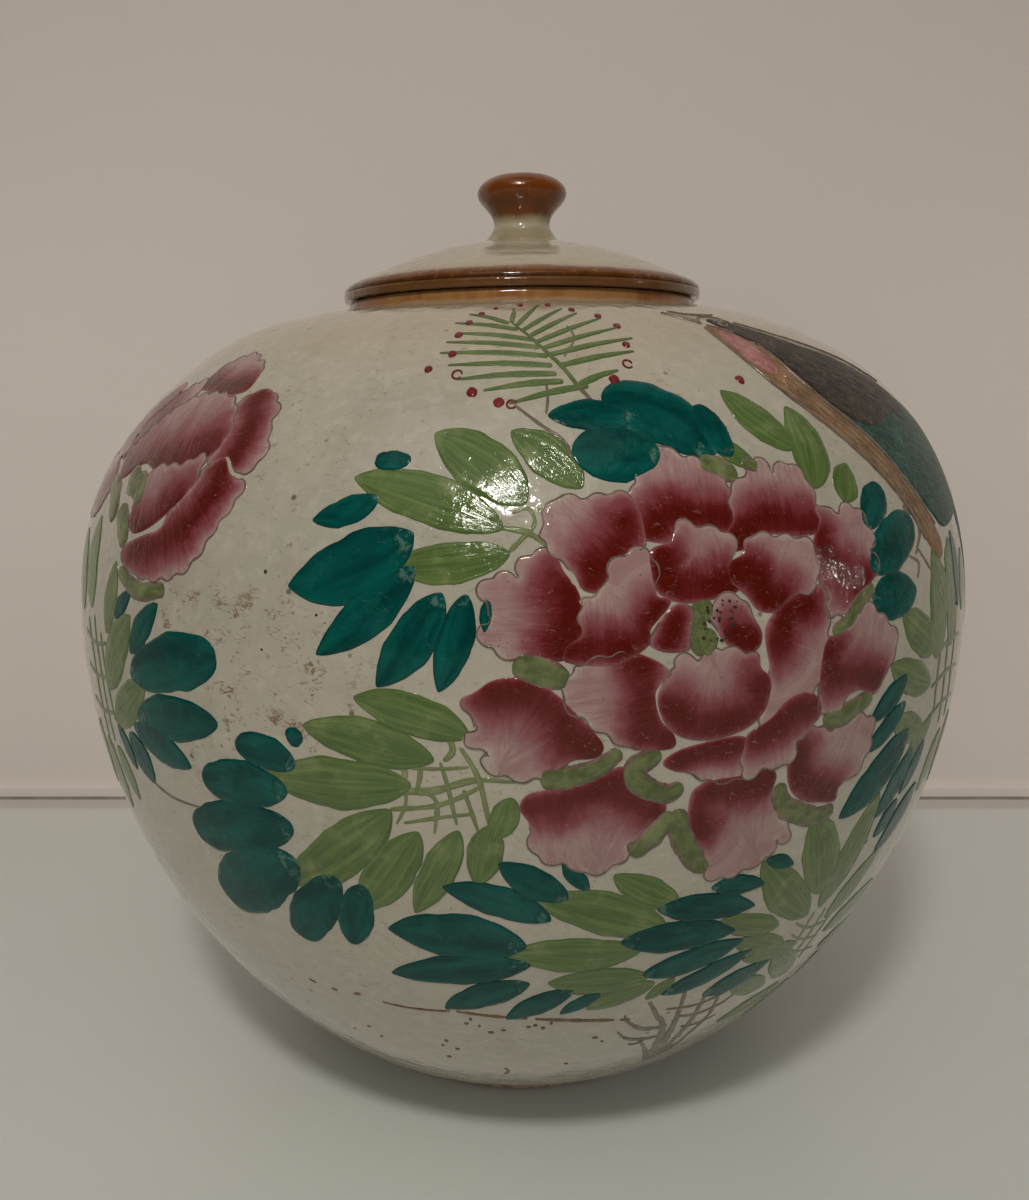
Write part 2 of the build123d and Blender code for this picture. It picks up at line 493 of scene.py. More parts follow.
def leaf(enamel, base, tip, width, bend, point, lift):
    """One brushed leaf from base to tip. A positive bend bows it to the left of its run, and
    point goes from 0, a round end, to 1, a sharp one."""
    seed = seeds.uniform(0, 50)
    a, b = chart(base)[0], chart(tip)[0]
    length = np.linalg.norm(b - a)
    along = (b - a) / length
    left = np.array([-along[1], along[0]])
    rows = max(12, math.ceil(length / 0.8))
    t = 0.5 - 0.5 * np.cos(np.pi * np.linspace(0, 1, rows))
    at_base, at_tip = BASE_POWER + BASE_SHARP * point, TIP_POWER + TIP_SHARP * point
    widest = at_base / (at_base + at_tip)
    most = widest**at_base * (1 - widest) ** at_tip
    half = width / 2 * (t**at_base * (1 - t) ** at_tip) / most + 0.05
    wave = [1 + ripple(t * 5, seed + k, LEAF_WAVE) for k in (0, 11)]
    spine = a + np.outer(t, b - a) + np.outer(bend * 4 * t * (1 - t), left)
    tangent = normals_of(spine, False)
    points, lifts, paint, edge = [], [], [], []
    for i in range(rows):
        for v in LEAF_ACROSS:
            reach = half[i] * wave[0 if v > 0 else 1][i]
            points.append(spine[i] + tangent[i] * reach * v)
            end = i in (0, rows - 1)
            raised = SUNK if abs(v) == 1 or end else lift * (0.75 if abs(v) > 0.9 else 1.0)
            lifts.append(raised)
            paint.append((t[i], v, seed))
            edge.append(reach * (1 - abs(v)))
    enamel.add(points, lifts, grid_faces(rows, len(LEAF_ACROSS)), paint, edge)


STROKE_ACROSS = np.array([1.0, 0.8, 0.3, -0.3, -0.8, -1.0])


def stroke(enamel, path, widths, lift=0.2, step=0.7, rough=0.08):
    """A brush stroke along a smooth path. Widths are spread evenly along it."""
    seed = seeds.uniform(0, 50)
    line = resample(chart(path), step)
    rows = len(line)
    t = np.linspace(0, 1, rows)
    wide = np.interp(t, np.linspace(0, 1, len(widths)), widths) / 2
    ends = np.minimum(t, 1 - t) * (rows - 1) * step
    rounding = np.sqrt(np.clip(1 - (1 - np.clip(ends / np.maximum(wide, 0.2), 0, 1)) ** 2, 0.02, 1))
    wide = np.maximum(wide * rounding * (1 + ripple(t * rows * 0.35, seed, rough)), 0.04)
    left = normals_of(line, False)
    reach = (wide[:, None] * STROKE_ACROSS)[:, :, None]
    points = (line[:, None, :] + left[:, None, :] * reach).reshape(-1, 2)
    lifts = np.where(np.abs(STROKE_ACROSS) == 1, SUNK, lift) * np.ones((rows, 1))
    lifts[[0, -1]] = SUNK
    across = np.broadcast_to(STROKE_ACROSS, (rows, len(STROKE_ACROSS)))
    along = np.repeat(t * rows * step, len(STROKE_ACROSS))
    paint = np.stack([along, across.ravel(), np.full(across.size, seed)], -1)
    edge = (wide[:, None] * (1 - np.abs(STROKE_ACROSS))).ravel()
    enamel.add(points, lifts.ravel(), grid_faces(rows, len(STROKE_ACROSS)), paint, edge)


def dot(enamel, centre, radius, lift=0.22, squash=1.0):
    """A round touch of the brush, slightly uneven."""
    seed = seeds.uniform(0, 50)
    around = max(12, round(radius * 14))
    turn = np.linspace(0, 2 * np.pi, around, endpoint=False)
    uneven = 1 + ripple(np.cos(turn) * 2 + np.sin(turn), seed, 0.1)
    middle = chart(centre)[0]
    points, lifts, paint, edge = [middle], [lift], [(0, 0, seed)], [radius]
    shares = (0.45, 0.8, 1.0)
    for share in shares:
        ring = np.stack([np.cos(turn) * squash, np.sin(turn)], -1) * (radius * share * uneven)[:, None]
        points += list(middle + ring)
        lifts += [SUNK if share == 1.0 else lift] * around
        paint += [(share, a, seed) for a in turn]
        edge += [radius * (1 - share)] * around
    faces = [(0, 1 + i, 1 + (i + 1) % around) for i in range(around)]
    for k in range(len(shares) - 1):
        low, high = 1 + k * around, 1 + (k + 1) * around
        pairs = [(i, (i + 1) % around) for i in range(around)]
        faces += [(low + i, high + i, high + j, low + j) for i, j in pairs]
    enamel.add(points, lifts, faces, paint, edge)


FILL_SPACING, FILL_RIM = 0.9, 0.3


def area(enamel, loop, lift, describe):
    """Fill a closed loop with enamel. describe gives (along, across) and a value at points."""
    loop = loop if signed_area(loop) > 0 else loop[::-1]
    seed = seeds.uniform(0, 50)
    inner = loop + normals_of(loop, True) * FILL_RIM
    low, high = inner.min(0), inner.max(0)
    columns = np.arange(low[0], high[0], FILL_SPACING)
    lines = np.arange(low[1], high[1], FILL_SPACING * 0.87)
    spots = np.array([(x + (k % 2) * FILL_SPACING / 2, y) for k, y in enumerate(lines) for x in columns])
    spots = spots + seeds.uniform(-0.12, 0.12, spots.shape)
    closed = np.concatenate([inner, inner[:1]])
    clear = to_line(spots, closed)[0] > FILL_SPACING * 0.45
    spots = spots[clear & inside_loop(spots, inner)]
    count = len(inner)
    corners = [Vector(p) for p in np.concatenate([inner, spots]).tolist()]
    ring = [(i, (i + 1) % count) for i in range(count)]
    filled = delaunay_2d_cdt(corners, ring, [list(range(count))], 1, 1e-5)
    made, faces = np.array([tuple(p) for p in filled[0]]), [tuple(f) for f in filled[2]]
    origin = {tuple(np.round(p, 4)): i for i, p in enumerate(made.tolist())}
    faces = [tuple(reversed(f)) if signed_area(made[list(f)]) < 0 else f for f in faces]
    own = [origin.get(tuple(np.round(p, 4)), -1) for p in inner.tolist()]
    base = len(made)
    strip = [(own[i], base + i, base + j, own[j]) for i, j in ring if own[i] >= 0 and own[j] >= 0]
    points = np.concatenate([made, loop])
    lifts = np.concatenate([np.full(len(made), lift), np.full(count, SUNK)])
    coordinates, value = describe(points)
    paint = np.concatenate([coordinates, np.full((len(points), 1), seed)], 1)
    enamel.add(points, lifts, faces + [tuple(dict.fromkeys(f)) for f in strip], paint, value)


# The painting. Leaves are (azimuth, s) of the base, the same of the tip, the width, the bow and,
# where it isn't the usual one, how sharp the tip is.

TEAL_FRONT = (
    (-14.0, 37.4, -20.6, 32.6, 5.2, 0.6),
    (-11.4, 44.9, -15.2, 44.7, 3.8, 0.3, 0.1),
    (-10.3, 31.0, -22.2, 20.4, 11.5, 1.6),
    (-9.9, 25.0, -19.0, 8.6, 7.4, 0.8),
    (-7.4, 20.6, -13.2, 3.6, 7.8, 0.6),
    (-5.2, 20.4, -7.6, 3.2, 6.2, 0.3),
    (-3.3, 19.6, -3.6, 13.8, 2.2, 0.0),
    (-21.7, -13.4, -28.6, -11.2, 6.8, -1.0, 0.3),
    (-22.9, -18.6, -33.9, -20.4, 9.4, -0.4, 0.25),
    (-22.9, -26.6, -37.2, -33.6, 11.4, -0.6, 0.1),
    (-23.2, -34.4, -35.4, -50.6, 14.0, -0.8, 0.0),
    (-18.9, -36.6, -25.6, -55.2, 9.6, -0.3, 0.05),
    (-16.1, -37.4, -18.9, -54.0, 7.4, -0.2, 0.4),
    (4.2, -38.2, -2.5, -29.8, 6.6, 0.5),
    (6.2, -36.2, 3.5, -29.8, 3.2, 0.3),
    (2.6, -43.6, -8.0, -35.8, 7.2, -0.9),
    (0.2, -50.6, -14.2, -47.8, 11.6, -0.8),
    (0.7, -55.8, -15.0, -61.2, 8.6, -0.5),
    (0.6, -61.7, -9.5, -71.6, 7.4, -0.7),
    (5.6, -64.4, -2.2, -74.6, 6.2, -0.5),
    (8.8, -66.2, 4.3, -72.9, 3.8, -0.3),
    (10.0, -50.6, 23.6, -52.4, 8.4, 0.6),
    (13.3, -61.2, 25.3, -55.9, 7.6, -0.5),
    (13.4, -42.6, 25.2, -46.3, 6.8, 0.4),
    (19.0, -39.1, 25.6, -40.9, 4.6, 0.4),
    (25.0, -34.8, 29.0, -37.8, 3.2, 0.2),
    (16.5, -69.4, 27.4, -60.2, 6.4, -0.6),
    (22.9, -73.4, 31.9, -67.2, 7.4, -0.5),
    (19.6, 45.6, 8.4, 58.4, 13.4, -3.0, 0.3),
    (12.0, 53.6, 2.4, 54.4, 7.0, -0.5, 0.7),
    (13.6, 46.4, 4.6, 47.0, 11.0, 0.4, 0.3),
    (21.4, 45.0, 19.4, 57.0, 6.6, 0.5, 0.3),
)
TEAL_SIDES = (
    (-44.6, -2.6, -30.3, 5.6, 11.0, 0.8, 0.1),
    (-44.4, -11.4, -30.6, -7.6, 9.0, 0.6, 0.5),
    (-45.5, -14.1, -35.4, -18.6, 7.4, 0.5),
    (-47.2, -16.3, -43.4, -26.2, 7.0, 0.6),
    (-44.4, 2.2, -39.2, 13.8, 5.6, 0.4),
    (-48.3, 8.4, -44.5, 14.8, 3.8, 0.2),
    (-50.3, -15.8, -47.2, -25.0, 4.2, 0.2),
    (44.4, -14.0, 34.2, -29.4, 9.6, 0.8),
    (42.7, -7.4, 36.2, -15.6, 5.0, 0.4),
    (42.5, -1.6, 36.4, -9.1, 5.2, 0.3),
    (46.5, -19.3, 41.4, -33.4, 6.8, 0.5),
    (49.6, -19.0, 46.1, -30.4, 5.4, 0.4),
    (46.1, -31.4, 42.8, -39.2, 5.4, 0.3),
    (51.2, -30.5, 45.0, -44.4, 8.2, 0.6),
    (36.6, 29.6, 41.4, 37.0, 7.2, 0.4, 0.2),
    (36.2, 21.2, 45.8, 29.2, 9.8, 0.5, 0.3),
    (36.0, 15.6, 44.2, 15.4, 9.0, -0.3, 0.6),
    (57.2, 25.0, 57.4, 8.0, 6.0, 0.2),
)
GREEN_FRONT = (
    (0.0, 36.4, -9.4, 50.3, 10.6, -1.2),
    (-2.0, 32.0, -17.0, 41.0, 9.0, -1.0),
    (-1.4, 27.6, -12.4, 25.0, 7.0, 0.6),
    (5.4, 39.4, -1.5, 50.9, 8.0, -0.8),
    (-4.9, -4.6, -15.4, 1.4, 7.4, -0.6),
    (-8.1, -9.5, -20.6, -4.9, 8.2, -0.5),
    (-10.3, -14.4, -25.3, -15.9, 9.8, 0.5),
    (-12.4, -19.8, -24.8, -40.4, 10.0, 1.2),
    (-9.9, -24.0, -17.2, -44.2, 8.8, 0.6),
    (-6.1, -23.2, -11.0, -42.8, 6.6, 0.4),
    (-3.2, -21.8, -4.6, -35.0, 6.6, 0.3),
    (-1.2, -16.2, -3.0, -25.0, 5.2, 0.3),
    (14.9, -48.6, 0.8, -38.0, 9.8, -0.8),
    (15.7, -41.8, 8.5, -33.2, 6.6, 0.5),
    (12.5, -53.5, -2.2, -52.4, 9.2, 0.5),
    (14.2, -62.0, 2.6, -61.6, 8.2, 0.4),
    (15.2, -64.6, 7.4, -71.6, 6.4, -0.4),
    (17.6, -64.0, 14.6, -70.4, 3.8, 0.2),
    (34.9, -55.2, 24.6, -35.0, 9.0, 0.9),
    (35.5, -49.4, 30.1, -27.0, 10.2, -0.8),
    (36.8, -54.4, 41.0, -27.0, 9.2, 0.6),
    (30.2, -55.0, 21.2, -48.5, 6.2, 0.4),
    (33.1, -62.8, 24.1, -56.0, 6.2, 0.4),
    (36.0, -64.9, 26.6, -63.3, 5.4, 0.3),
    (34.9, -79.4, 26.9, -71.5, 7.2, 0.5),
    (39.9, -78.8, 32.3, -64.3, 8.2, 0.6),
    (29.9, 46.5, 23.3, 60.6, 8.4, 0.7),
    (30.4, 38.0, 31.3, 56.4, 10.0, -2.0),
    (34.4, 34.6, 36.7, 42.8, 7.0, 0.2, 1.0),
    (24.0, 43.2, 19.0, 49.6, 4.4, 0.3),
)
GREEN_SIDES = (
    (49.4, 20.5, 49.8, -1.0, 9.0, 0.4, 0.3),
    (54.0, 22.0, 54.6, 0.0, 8.0, 0.4, 0.3),
    (48.5, 1.0, 41.1, 11.0, 8.4, -0.4),
    (48.5, -5.9, 39.1, 1.5, 7.4, 0.5),
    (48.5, -16.6, 40.4, -10.1, 6.4, 0.5),
    (52.6, 8.0, 49.2, 22.6, 8.0, 0.6),
    (56.4, 8.6, 55.4, 24.0, 8.6, 0.5),
    (60.2, 6.0, 62.0, 20.0, 8.0, -0.4),
    (50.6, -14.0, 44.0, -24.0, 5.6, 0.3),
    (56.4, -20.0, 53.0, -34.0, 8.0, 0.5),
    (60.8, -18.0, 60.0, -36.0, 8.0, 0.5),
    (39.8, -60.0, 46.2, -44.8, 8.0, 0.4),
    (42.0, -66.0, 52.0, -58.0, 8.0, 0.4),
    (40.4, -84.0, 30.4, -92.0, 7.6, 0.5),
    (44.0, -86.0, 41.0, -102.0, 9.0, 0.6),
    (47.5, -80.0, 52.0, -96.0, 9.0, 0.6),
    (45.0, -74.0, 57.0, -76.0, 9.0, 0.6),
    (-56.0, 8.0, -57.8, 28.4, 9.0, 0.6),
    (-60.6, 6.0, -64.6, 24.0, 9.0, -0.5),
    (-50.6, 4.2, -48.8, 20.2, 6.4, -0.5),
    (-51.2, -8.4, -44.4, 10.0, 9.2, 0.7),
    (-50.5, -16.2, -41.8, -3.6, 8.0, 0.5),
    (-52.4, -22.0, -49.6, -34.0, 6.0, 0.3),
    (-56.4, -22.0, -55.2, -40.0, 8.4, 0.4),
    (-60.2, -20.0, -62.4, -38.0, 9.0, -0.4),
)

# Petals are (outline, the line along which the crimson is laid, how far it fades, layer)
PEONY_FRONT = (
    (((1.8, 30.6), (2.7, 36.7), (5.6, 36.9), (9.8, 37.4), (10.7, 29.1), (7.7, 26), (7.1, 21.4), (5.2, 21.2),
      (4.2, 24.6)), ((5.9, 22.5), (6.5, 25.5), (8.4, 29.5), (9.5, 33)), 9, 1),
    (((10.5, 30.6), (10.4, 39.2), (12.1, 43.1), (13.2, 47.4), (15, 45.6), (18.2, 43.1), (19.8, 39.6),
      (19.6, 31.4), (17, 30.6), (15.2, 32.8), (14.3, 32.8), (13.2, 29.4), (11.3, 29.6)),
     ((11.5, 31.5), (13.5, 34), (17, 34), (19.3, 33.5)), 9, 0),
    (((19.2, 30.6), (19.3, 27.6), (20.5, 27.4), (21.7, 29.4), (24.1, 29.9), (27.7, 29.1), (30, 30.6),
      (29.8, 37.8), (28.9, 41.7), (27.1, 42.9), (25.7, 41), (24.3, 44.4), (22.9, 41.4), (20.5, 38.1),
      (20, 32.8)),
     ((19.6, 28.9), (22.3, 32.1), (25.9, 31.7), (29.8, 30.3)), 9, 0),
    (((30, 31.2), (30.5, 34.2), (32.5, 32.2), (34.3, 33.7), (36.1, 32.1), (37.1, 27.1), (36.3, 24.6),
      (37.3, 21.4), (34.8, 17.4), (32, 14.6), (29.8, 14.2), (29.9, 17.8), (28.8, 21.4), (28.6, 26.4)),
     ((29.8, 28.5), (30.7, 23.5), (33, 19.9), (34.8, 18.5)), 9, 0),
    (((2.9, 9.1), (-2.1, 10.6), (-3.8, 14.2), (-2.6, 16.4), (-3.8, 21.2), (-2.3, 23.4), (-0.5, 22.9),
      (-0.2, 26.2), (2.1, 27.4), (3.3, 24.1), (4.5, 20.6), (4.9, 16.4), (4.6, 12.1)),
     ((3.8, 22.1), (3.9, 16.4), (3.6, 9.9)), 11, 0),
    (((5.1, 18.5), (7.1, 21), (7.7, 24.9), (9.8, 27.4), (11.3, 26.2), (11.5, 19.9), (12.8, 18.6),
      (10.9, 14.2), (10.7, 11.4), (7.7, 8.1), (3.6, 8.9), (3.6, 11.4), (4.9, 13.4)),
     ((3.8, 10.6), (7.3, 11), (10.2, 12.1), (11.8, 17.1)), 8, 1),
    (((11.4, 27.6), (13.4, 29.1), (14.3, 32.1), (15.7, 31.4), (18.9, 29.9), (19.3, 27.1), (18.7, 23.5),
      (19.6, 20.3), (17, 18.9), (13.9, 18.6), (11.8, 20.6), (11.3, 23.9)),
     ((12.3, 27), (12.5, 22.8), (14.8, 20.6), (18.8, 21.4)), 9, 1),
    (((18.9, 24.6), (20.5, 26.2), (21.6, 29.1), (24.8, 28.6), (28, 27.4), (28.5, 23.5), (27.9, 19.9),
      (25, 17.9), (23.4, 15.8), (21.6, 16.4), (20.4, 19.1), (18.9, 21.7)),
     ((19.8, 23.5), (21.3, 22.1), (22.3, 18.5), (24.1, 17.8)), 9, 1),
    (((11.1, 12.9), (12.7, 16.9), (13.9, 18.1), (14.9, 16.5), (14.5, 12.1), (14.3, 10.3), (12.5, 10.1),
      (11.1, 11.2)), ((12.6, 11.6), (13.4, 15.6)), 7, 2),
    (((17, 17.9), (19.1, 18.7), (20.3, 16.4), (21.7, 12.2), (21.3, 9.4), (19.6, 8.9), (17.8, 11.7),
      (17.1, 14.9)), ((19.1, 12.1), (20.9, 11)), 8, 1),
    (((22.3, 12.1), (23.6, 15.8), (25.7, 18.5), (27.7, 19.6), (29.1, 18.5), (29.3, 13.1), (29.1, 6.4),
      (28, 1), (25.5, -1.4), (23, -4.4), (22, -3.5), (23, 1), (22.8, 5.6)),
     ((23.4, 9.1), (24.8, 14.9), (27, 16.4)), 9, 0),
    (((13, 6), (13.6, 8.4), (15.6, 7.8), (17.1, 9.4), (19.1, 8.8), (21.1, 7.6), (21.7, 5.3), (22.7, 3.1),
      (22.3, -1.9), (20.4, -5.2), (17, -6.6), (14.1, -5.6), (12.4, -2.6), (11.8, 2.1)),
     ((12.7, 0), (14.8, -2.9), (18.4, -3.6), (21.3, -1.5), (21.8, 2.8)), 9, 1),
    (((29.3, 8.9), (31.1, 9.8), (33.4, 11.7), (35, 14.2), (37, 11.7), (39.6, 7.2), (38.8, 2.8), (37.7, -1.1),
      (36.3, -3.3), (34.3, -1.6), (32.3, -2.4), (30.5, -4.9), (28.9, -2.9), (28.6, 2.8)),
     ((29.8, 6.4), (30.4, 2.1), (33, 1.4), (36.3, -0.4)), 9, 1),
    (((4.5, 7.2), (7, 8.9), (8.8, 9.9), (10.7, 8.9), (12.4, 6.4), (11.3, 2.8), (11.8, -2.2), (13.2, -5.6),
      (13, -7.6), (9.8, -7.2), (7.7, -4.7), (5.4, -1.4), (3.5, 2.1)),
     ((10.2, 7.4), (10.5, 2.1), (10.9, -3.6), (12.5, -6.1)), 9, 0),
    (((-4, 3.6), (-2.7, 5.3), (-0.7, 5.8), (1.4, 4.4), (3.4, 1.4), (5.2, -2.6), (6.7, -6.5), (6.1, -8.5),
      (3.8, -9), (2.1, -11.5), (-0.9, -12), (-3.8, -9.5), (-2.8, -7.8), (-5, -5.1), (-3.8, -2.8),
      (-5.3, 1.2)),
     ((-3, 3.1), (0.2, 2.8), (2.7, -0.8), (4.1, -4.4), (5.9, -6.9)), 10, 0),
    (((12.5, -10.4), (14.1, -8.4), (17, -7.4), (20.2, -7.2), (20.4, -10.8), (20.4, -14.4), (18.2, -14.7),
      (16.6, -14), (14.8, -12.6), (13.4, -11.9)), ((13.4, -10.4), (16.3, -8.6), (19.8, -8.5)), 6, 0),
    (((20.5, -7.8), (21.8, -5.6), (23.2, -4), (24.6, -1.4), (26.6, -0.2), (28.5, -1.9), (28.8, -5.1),
      (27.3, -7.6), (26.1, -9.4), (25.4, -13.3), (23, -13.3), (20.7, -14.4)),
     ((21.6, -6.9), (24.1, -5.1), (26.3, -2.9), (28, -3.6)), 8, 1),
    (((-0.4, -18.3), (0.5, -15.6), (3.4, -14.6), (6.3, -13.3), (8.5, -10.9), (9.3, -14), (10.9, -16.6),
      (12.9, -19.4), (11.4, -22.6), (9.5, -25.8), (9, -29.4), (6.3, -32.1), (4.3, -30.1), (1.6, -28.6),
      (0.7, -25.4), (0.5, -21.5)), ((0.4, -17.9), (3.8, -16.9), (7.7, -14), (8.8, -15.8), (12, -19.4)), 9, 0),
    (((15.3, -19.7), (15.7, -16.5), (17.5, -14.9), (20.2, -14.7), (22.5, -13.6), (24.2, -15.8), (23.8, -20.1),
      (24.8, -24.4), (27.1, -29.4), (26.6, -30.6), (25.4, -29.7), (25, -33.3), (22.3, -35.6), (19.5, -36.5),
      (18.2, -35.1), (17.9, -31.1), (16.6, -27.2), (15.6, -23.6)),
     ((16.3, -25.1), (16.3, -18.6), (18.8, -16.9), (23.4, -16.5)), 9, 0),
    (((25.6, -14.4), (26, -10.8), (27, -8.3), (28.9, -7.8), (30, -9.5), (32, -7.8), (34.1, -7.4), (36.4, -9),
      (36.6, -13.6), (35.4, -18.6), (33, -21.5), (32.7, -24.4), (30.7, -23.8), (28.4, -22.6), (26.4, -19.4)),
     ((26.8, -12.2), (27.1, -16.5), (29.1, -20.1), (32, -22.6)), 9, 0),
)
PEONY_SIDE = (
    (((-50.1, 63.6), (-49.2, 68.2), (-46.7, 71.1), (-43.5, 72.4), (-41, 69.8), (-38.7, 68.2), (-37.5, 64.3),
      (-37.8, 60.5), (-41, 59.5), (-43.5, 59.1), (-46.7, 60.7), (-49.4, 61.4)),
     ((-48.9, 63.9), (-46, 62.5), (-43.1, 61.4), (-38.1, 62.5)), 8, 0),
    (((-37.4, 55), (-36.3, 58.9), (-34.4, 60.9), (-32.3, 59.8), (-30.1, 55.7), (-29.9, 51.4), (-28.9, 46.8),
      (-29.5, 42.9), (-31.7, 41.4), (-33.9, 44.6), (-36.2, 42.5), (-35.6, 48.6), (-36.9, 52.1)),
     ((-34.2, 59.0), (-32.9, 52.0), (-32.8, 46.0), (-33.6, 43.0)), 8.5, 0),
    (((-37.4, 37.5), (-36.2, 41.6), (-34.4, 43.9), (-32.6, 40.7), (-30.2, 38.2), (-31.2, 33.6), (-32.6, 29.3),
      (-33.7, 25.4), (-36, 21.1), (-40.3, 18.9), (-44.6, 18.9), (-47.3, 20.7), (-47.3, 23.6), (-44.2, 26.1),
      (-41, 28.2), (-39.4, 32.5)),
     ((-33.8, 42.4), (-34.0, 37.0), (-36.4, 30.5), (-40.6, 25.2), (-45.5, 22.4)), 9, 0),
    (((-57.1, 46.1), (-54.2, 51.1), (-49.2, 57.4), (-44.6, 59.2), (-40.3, 58.5), (-37.4, 55.7), (-35.8, 49.5),
      (-37.4, 43.9), (-41, 41.6), (-46, 40.4), (-50.3, 41.6), (-55.3, 37.5), (-58.1, 40.4)),
     ((-57.0, 37.5), (-50.0, 38.5), (-43.0, 40.5), (-38.0, 43.0)), 19, 1),
    (((-46.5, 40), (-41, 41.4), (-37.8, 43.6), (-37.9, 37.1), (-39.8, 32.9), (-42.8, 28.8), (-46.2, 26.8),
      (-48, 29.6), (-47.1, 34.6)), ((-46.5, 26.0), (-42.0, 28.0), (-38.8, 33.0)), 14, 1),
    (((-59.6, 41.8), (-59.2, 49.6), (-56.7, 56.8), (-53.5, 61.4), (-49.9, 63.4), (-49.8, 58.9), (-54.2, 52.5),
      (-57.1, 47.1)), ((-57.8, 44.6), (-57.4, 51.1), (-54.2, 56.1)), 9, 0),
    (((-66.0, 44.0), (-65.5, 51.5), (-62.5, 58.5), (-58.0, 63.0), (-56.4, 58.4), (-60.0, 51.0),
      (-60.6, 43.0)),
     ((-64.0, 46.0), (-61.6, 53.0), (-58.6, 58.6)), 8, 1),
    (((-59.8, 39.6), (-58.8, 34.8), (-61.6, 28.6), (-67.0, 27.0), (-71.0, 31.4), (-70.4, 38.4),
      (-66.0, 42.4)),
     ((-60.6, 37.4), (-62.4, 33.0), (-67.4, 30.6)), 8, 0),
)

# Green calyx strokes round the petals: (path, widths)
SEPALS_FRONT = (
    (((-1.2, 8.6), (0.4, 7.6), (2.2, 6.4), (3.8, 5.2)), (4.4, 5.4, 5.0, 3.2)),
    (((1.2, -12.6), (3.8, -12.4), (6.3, -10.9), (8.5, -7.6)), (4.2, 4.2, 3.4, 2.2)),
    (((12.2, -8.4), (9.8, -11.2), (10.3, -14.4), (12.8, -16.7), (14.5, -15.1)), (2.6, 4.0, 4.2, 3.8, 2.4)),
    (((13.6, -20.4), (12, -25.1), (9.8, -29.2)), (3.2, 4.2, 3.0)),
    (((14.0, -19.9), (14.8, -25.8), (16.5, -31.5), (18.0, -34.6)), (3.4, 4.6, 4.4, 3.0)),
    (((24.7, -17.6), (25.5, -22.2), (27.7, -25.1), (30.5, -27.2), (33.0, -26.3)), (3.0, 4.0, 4.4, 4.0, 2.6)),
    (((29.3, -5.8), (31.6, -6.5), (34.5, -4.6), (36.3, -3.4)), (3.2, 4.4, 3.8, 2.4)),
    (((30.1, 10.2), (32.3, 12.1), (34.1, 15.6), (36.5, 18.0)), (2.2, 2.8, 2.8, 2.0)),
    (((17.5, 44.4), (19.8, 42.8), (21.4, 40.4)), (3.2, 4.2, 3.0)),
    (((22.2, 44.3), (24.2, 42.6)), (2.4, 2.6)),
)
SEPALS_SIDE = (
    (((-52.2, 40.6), (-50.6, 37.0), (-48.2, 36.4), (-47.2, 32.0)), (4.0, 5.6, 5.6, 3.6)),
    (((-51.7, 31.4), (-49.6, 28.4), (-47.6, 23.4)), (4.0, 5.4, 3.4)),
    (((-58.6, 36.6), (-55.6, 34.2), (-52.6, 28.0)), (3.6, 5.6, 3.6)),
    (((-47.8, 18.7), (-43.1, 15.4), (-38.1, 16.8)), (2.6, 3.6, 2.4)),
)

# Green stalks and veins between the leaves: (path, widths)
STALKS_FRONT = (
    (((-15.4, -15.2), (-9.0, -15.6), (-4.6, -13.0), (-0.6, -13.2)), (2.6, 1.9, 1.5, 0.5)),
    (((-9.9, -8.4), (-9.4, -12), (-10.0, -16.6)), (0.8, 1.2, 0.6)),
    (((-9.0, -15.4), (-8.0, -18), (-8.4, -24.6)), (0.8, 1.1, 0.5)),
    (((-7.6, -9.4), (-7.0, -14), (-6.2, -22.5)), (0.7, 1.0, 0.6)),
    (((-7.0, -4.0), (-6.4, -7.4), (-7.4, -9.8)), (1.2, 1.6, 0.7)),
    (((-5.6, -14.6), (-5.2, -17), (-4.2, -24.0)), (0.8, 1.0, 0.6)),
    (((-5.8, -6.6), (-4.6, -10.6), (-3.9, -14.6), (-3.2, -22.9)), (0.8, 1.2, 1.2, 0.7)),
    (((-12.4, -8.4), (-10.8, -12.4), (-12.4, -15.6)), (1.0, 1.3, 1.0)),
    (((-10.6, -11.2), (-7.6, -11.0), (-4.8, -10.4)), (0.6, 0.8, 0.6)),
    (((-12.6, -19.8), (-7.6, -18.0), (-3.6, -13.8)), (1.0, 1.1, 0.9)),
    (((-11.4, -22.4), (-7.6, -20.6), (-4.6, -19.6)), (0.7, 0.9, 0.6)),
    (((-10.8, -16.0), (-11.0, -19.0), (-12.0, -23.0)), (0.7, 0.8, 0.5)),
    (((-1.6, 27.6), (-0.6, 29.6), (0.8, 32.8), (0.2, 35.6), (-1.4, 34.6)), (0.9, 1.1, 0.9, 0.8, 0.6)),
    (((-2.4, 32.2), (0.4, 31.0), (3.0, 27.2)), (1.2, 1.3, 0.9)),
    (((1.0, 35.8), (2.4, 33.2), (3.2, 30.6)), (0.8, 0.9, 0.6)),
    (((33.2, -56.4), (36.6, -60.4), (40.6, -61.4)), (0.8, 0.9, 0.6)),
    (((33.6, -60.2), (36.6, -64.2), (41.0, -66.4)), (0.8, 0.9, 0.6)),
    (((34.6, -66.4), (37.6, -69.4), (42.4, -71.8)), (0.9, 0.9, 0.6)),
    (((36.2, -54.8), (35.8, -63), (34.6, -74.0)), (1.0, 1.0, 0.7)),
    (((38.6, -55.4), (38.0, -64), (37.2, -75.0)), (0.9, 0.9, 0.7)),
    (((41.2, -57.0), (40.2, -66), (39.8, -74.0)), (0.8, 0.9, 0.6)),
)
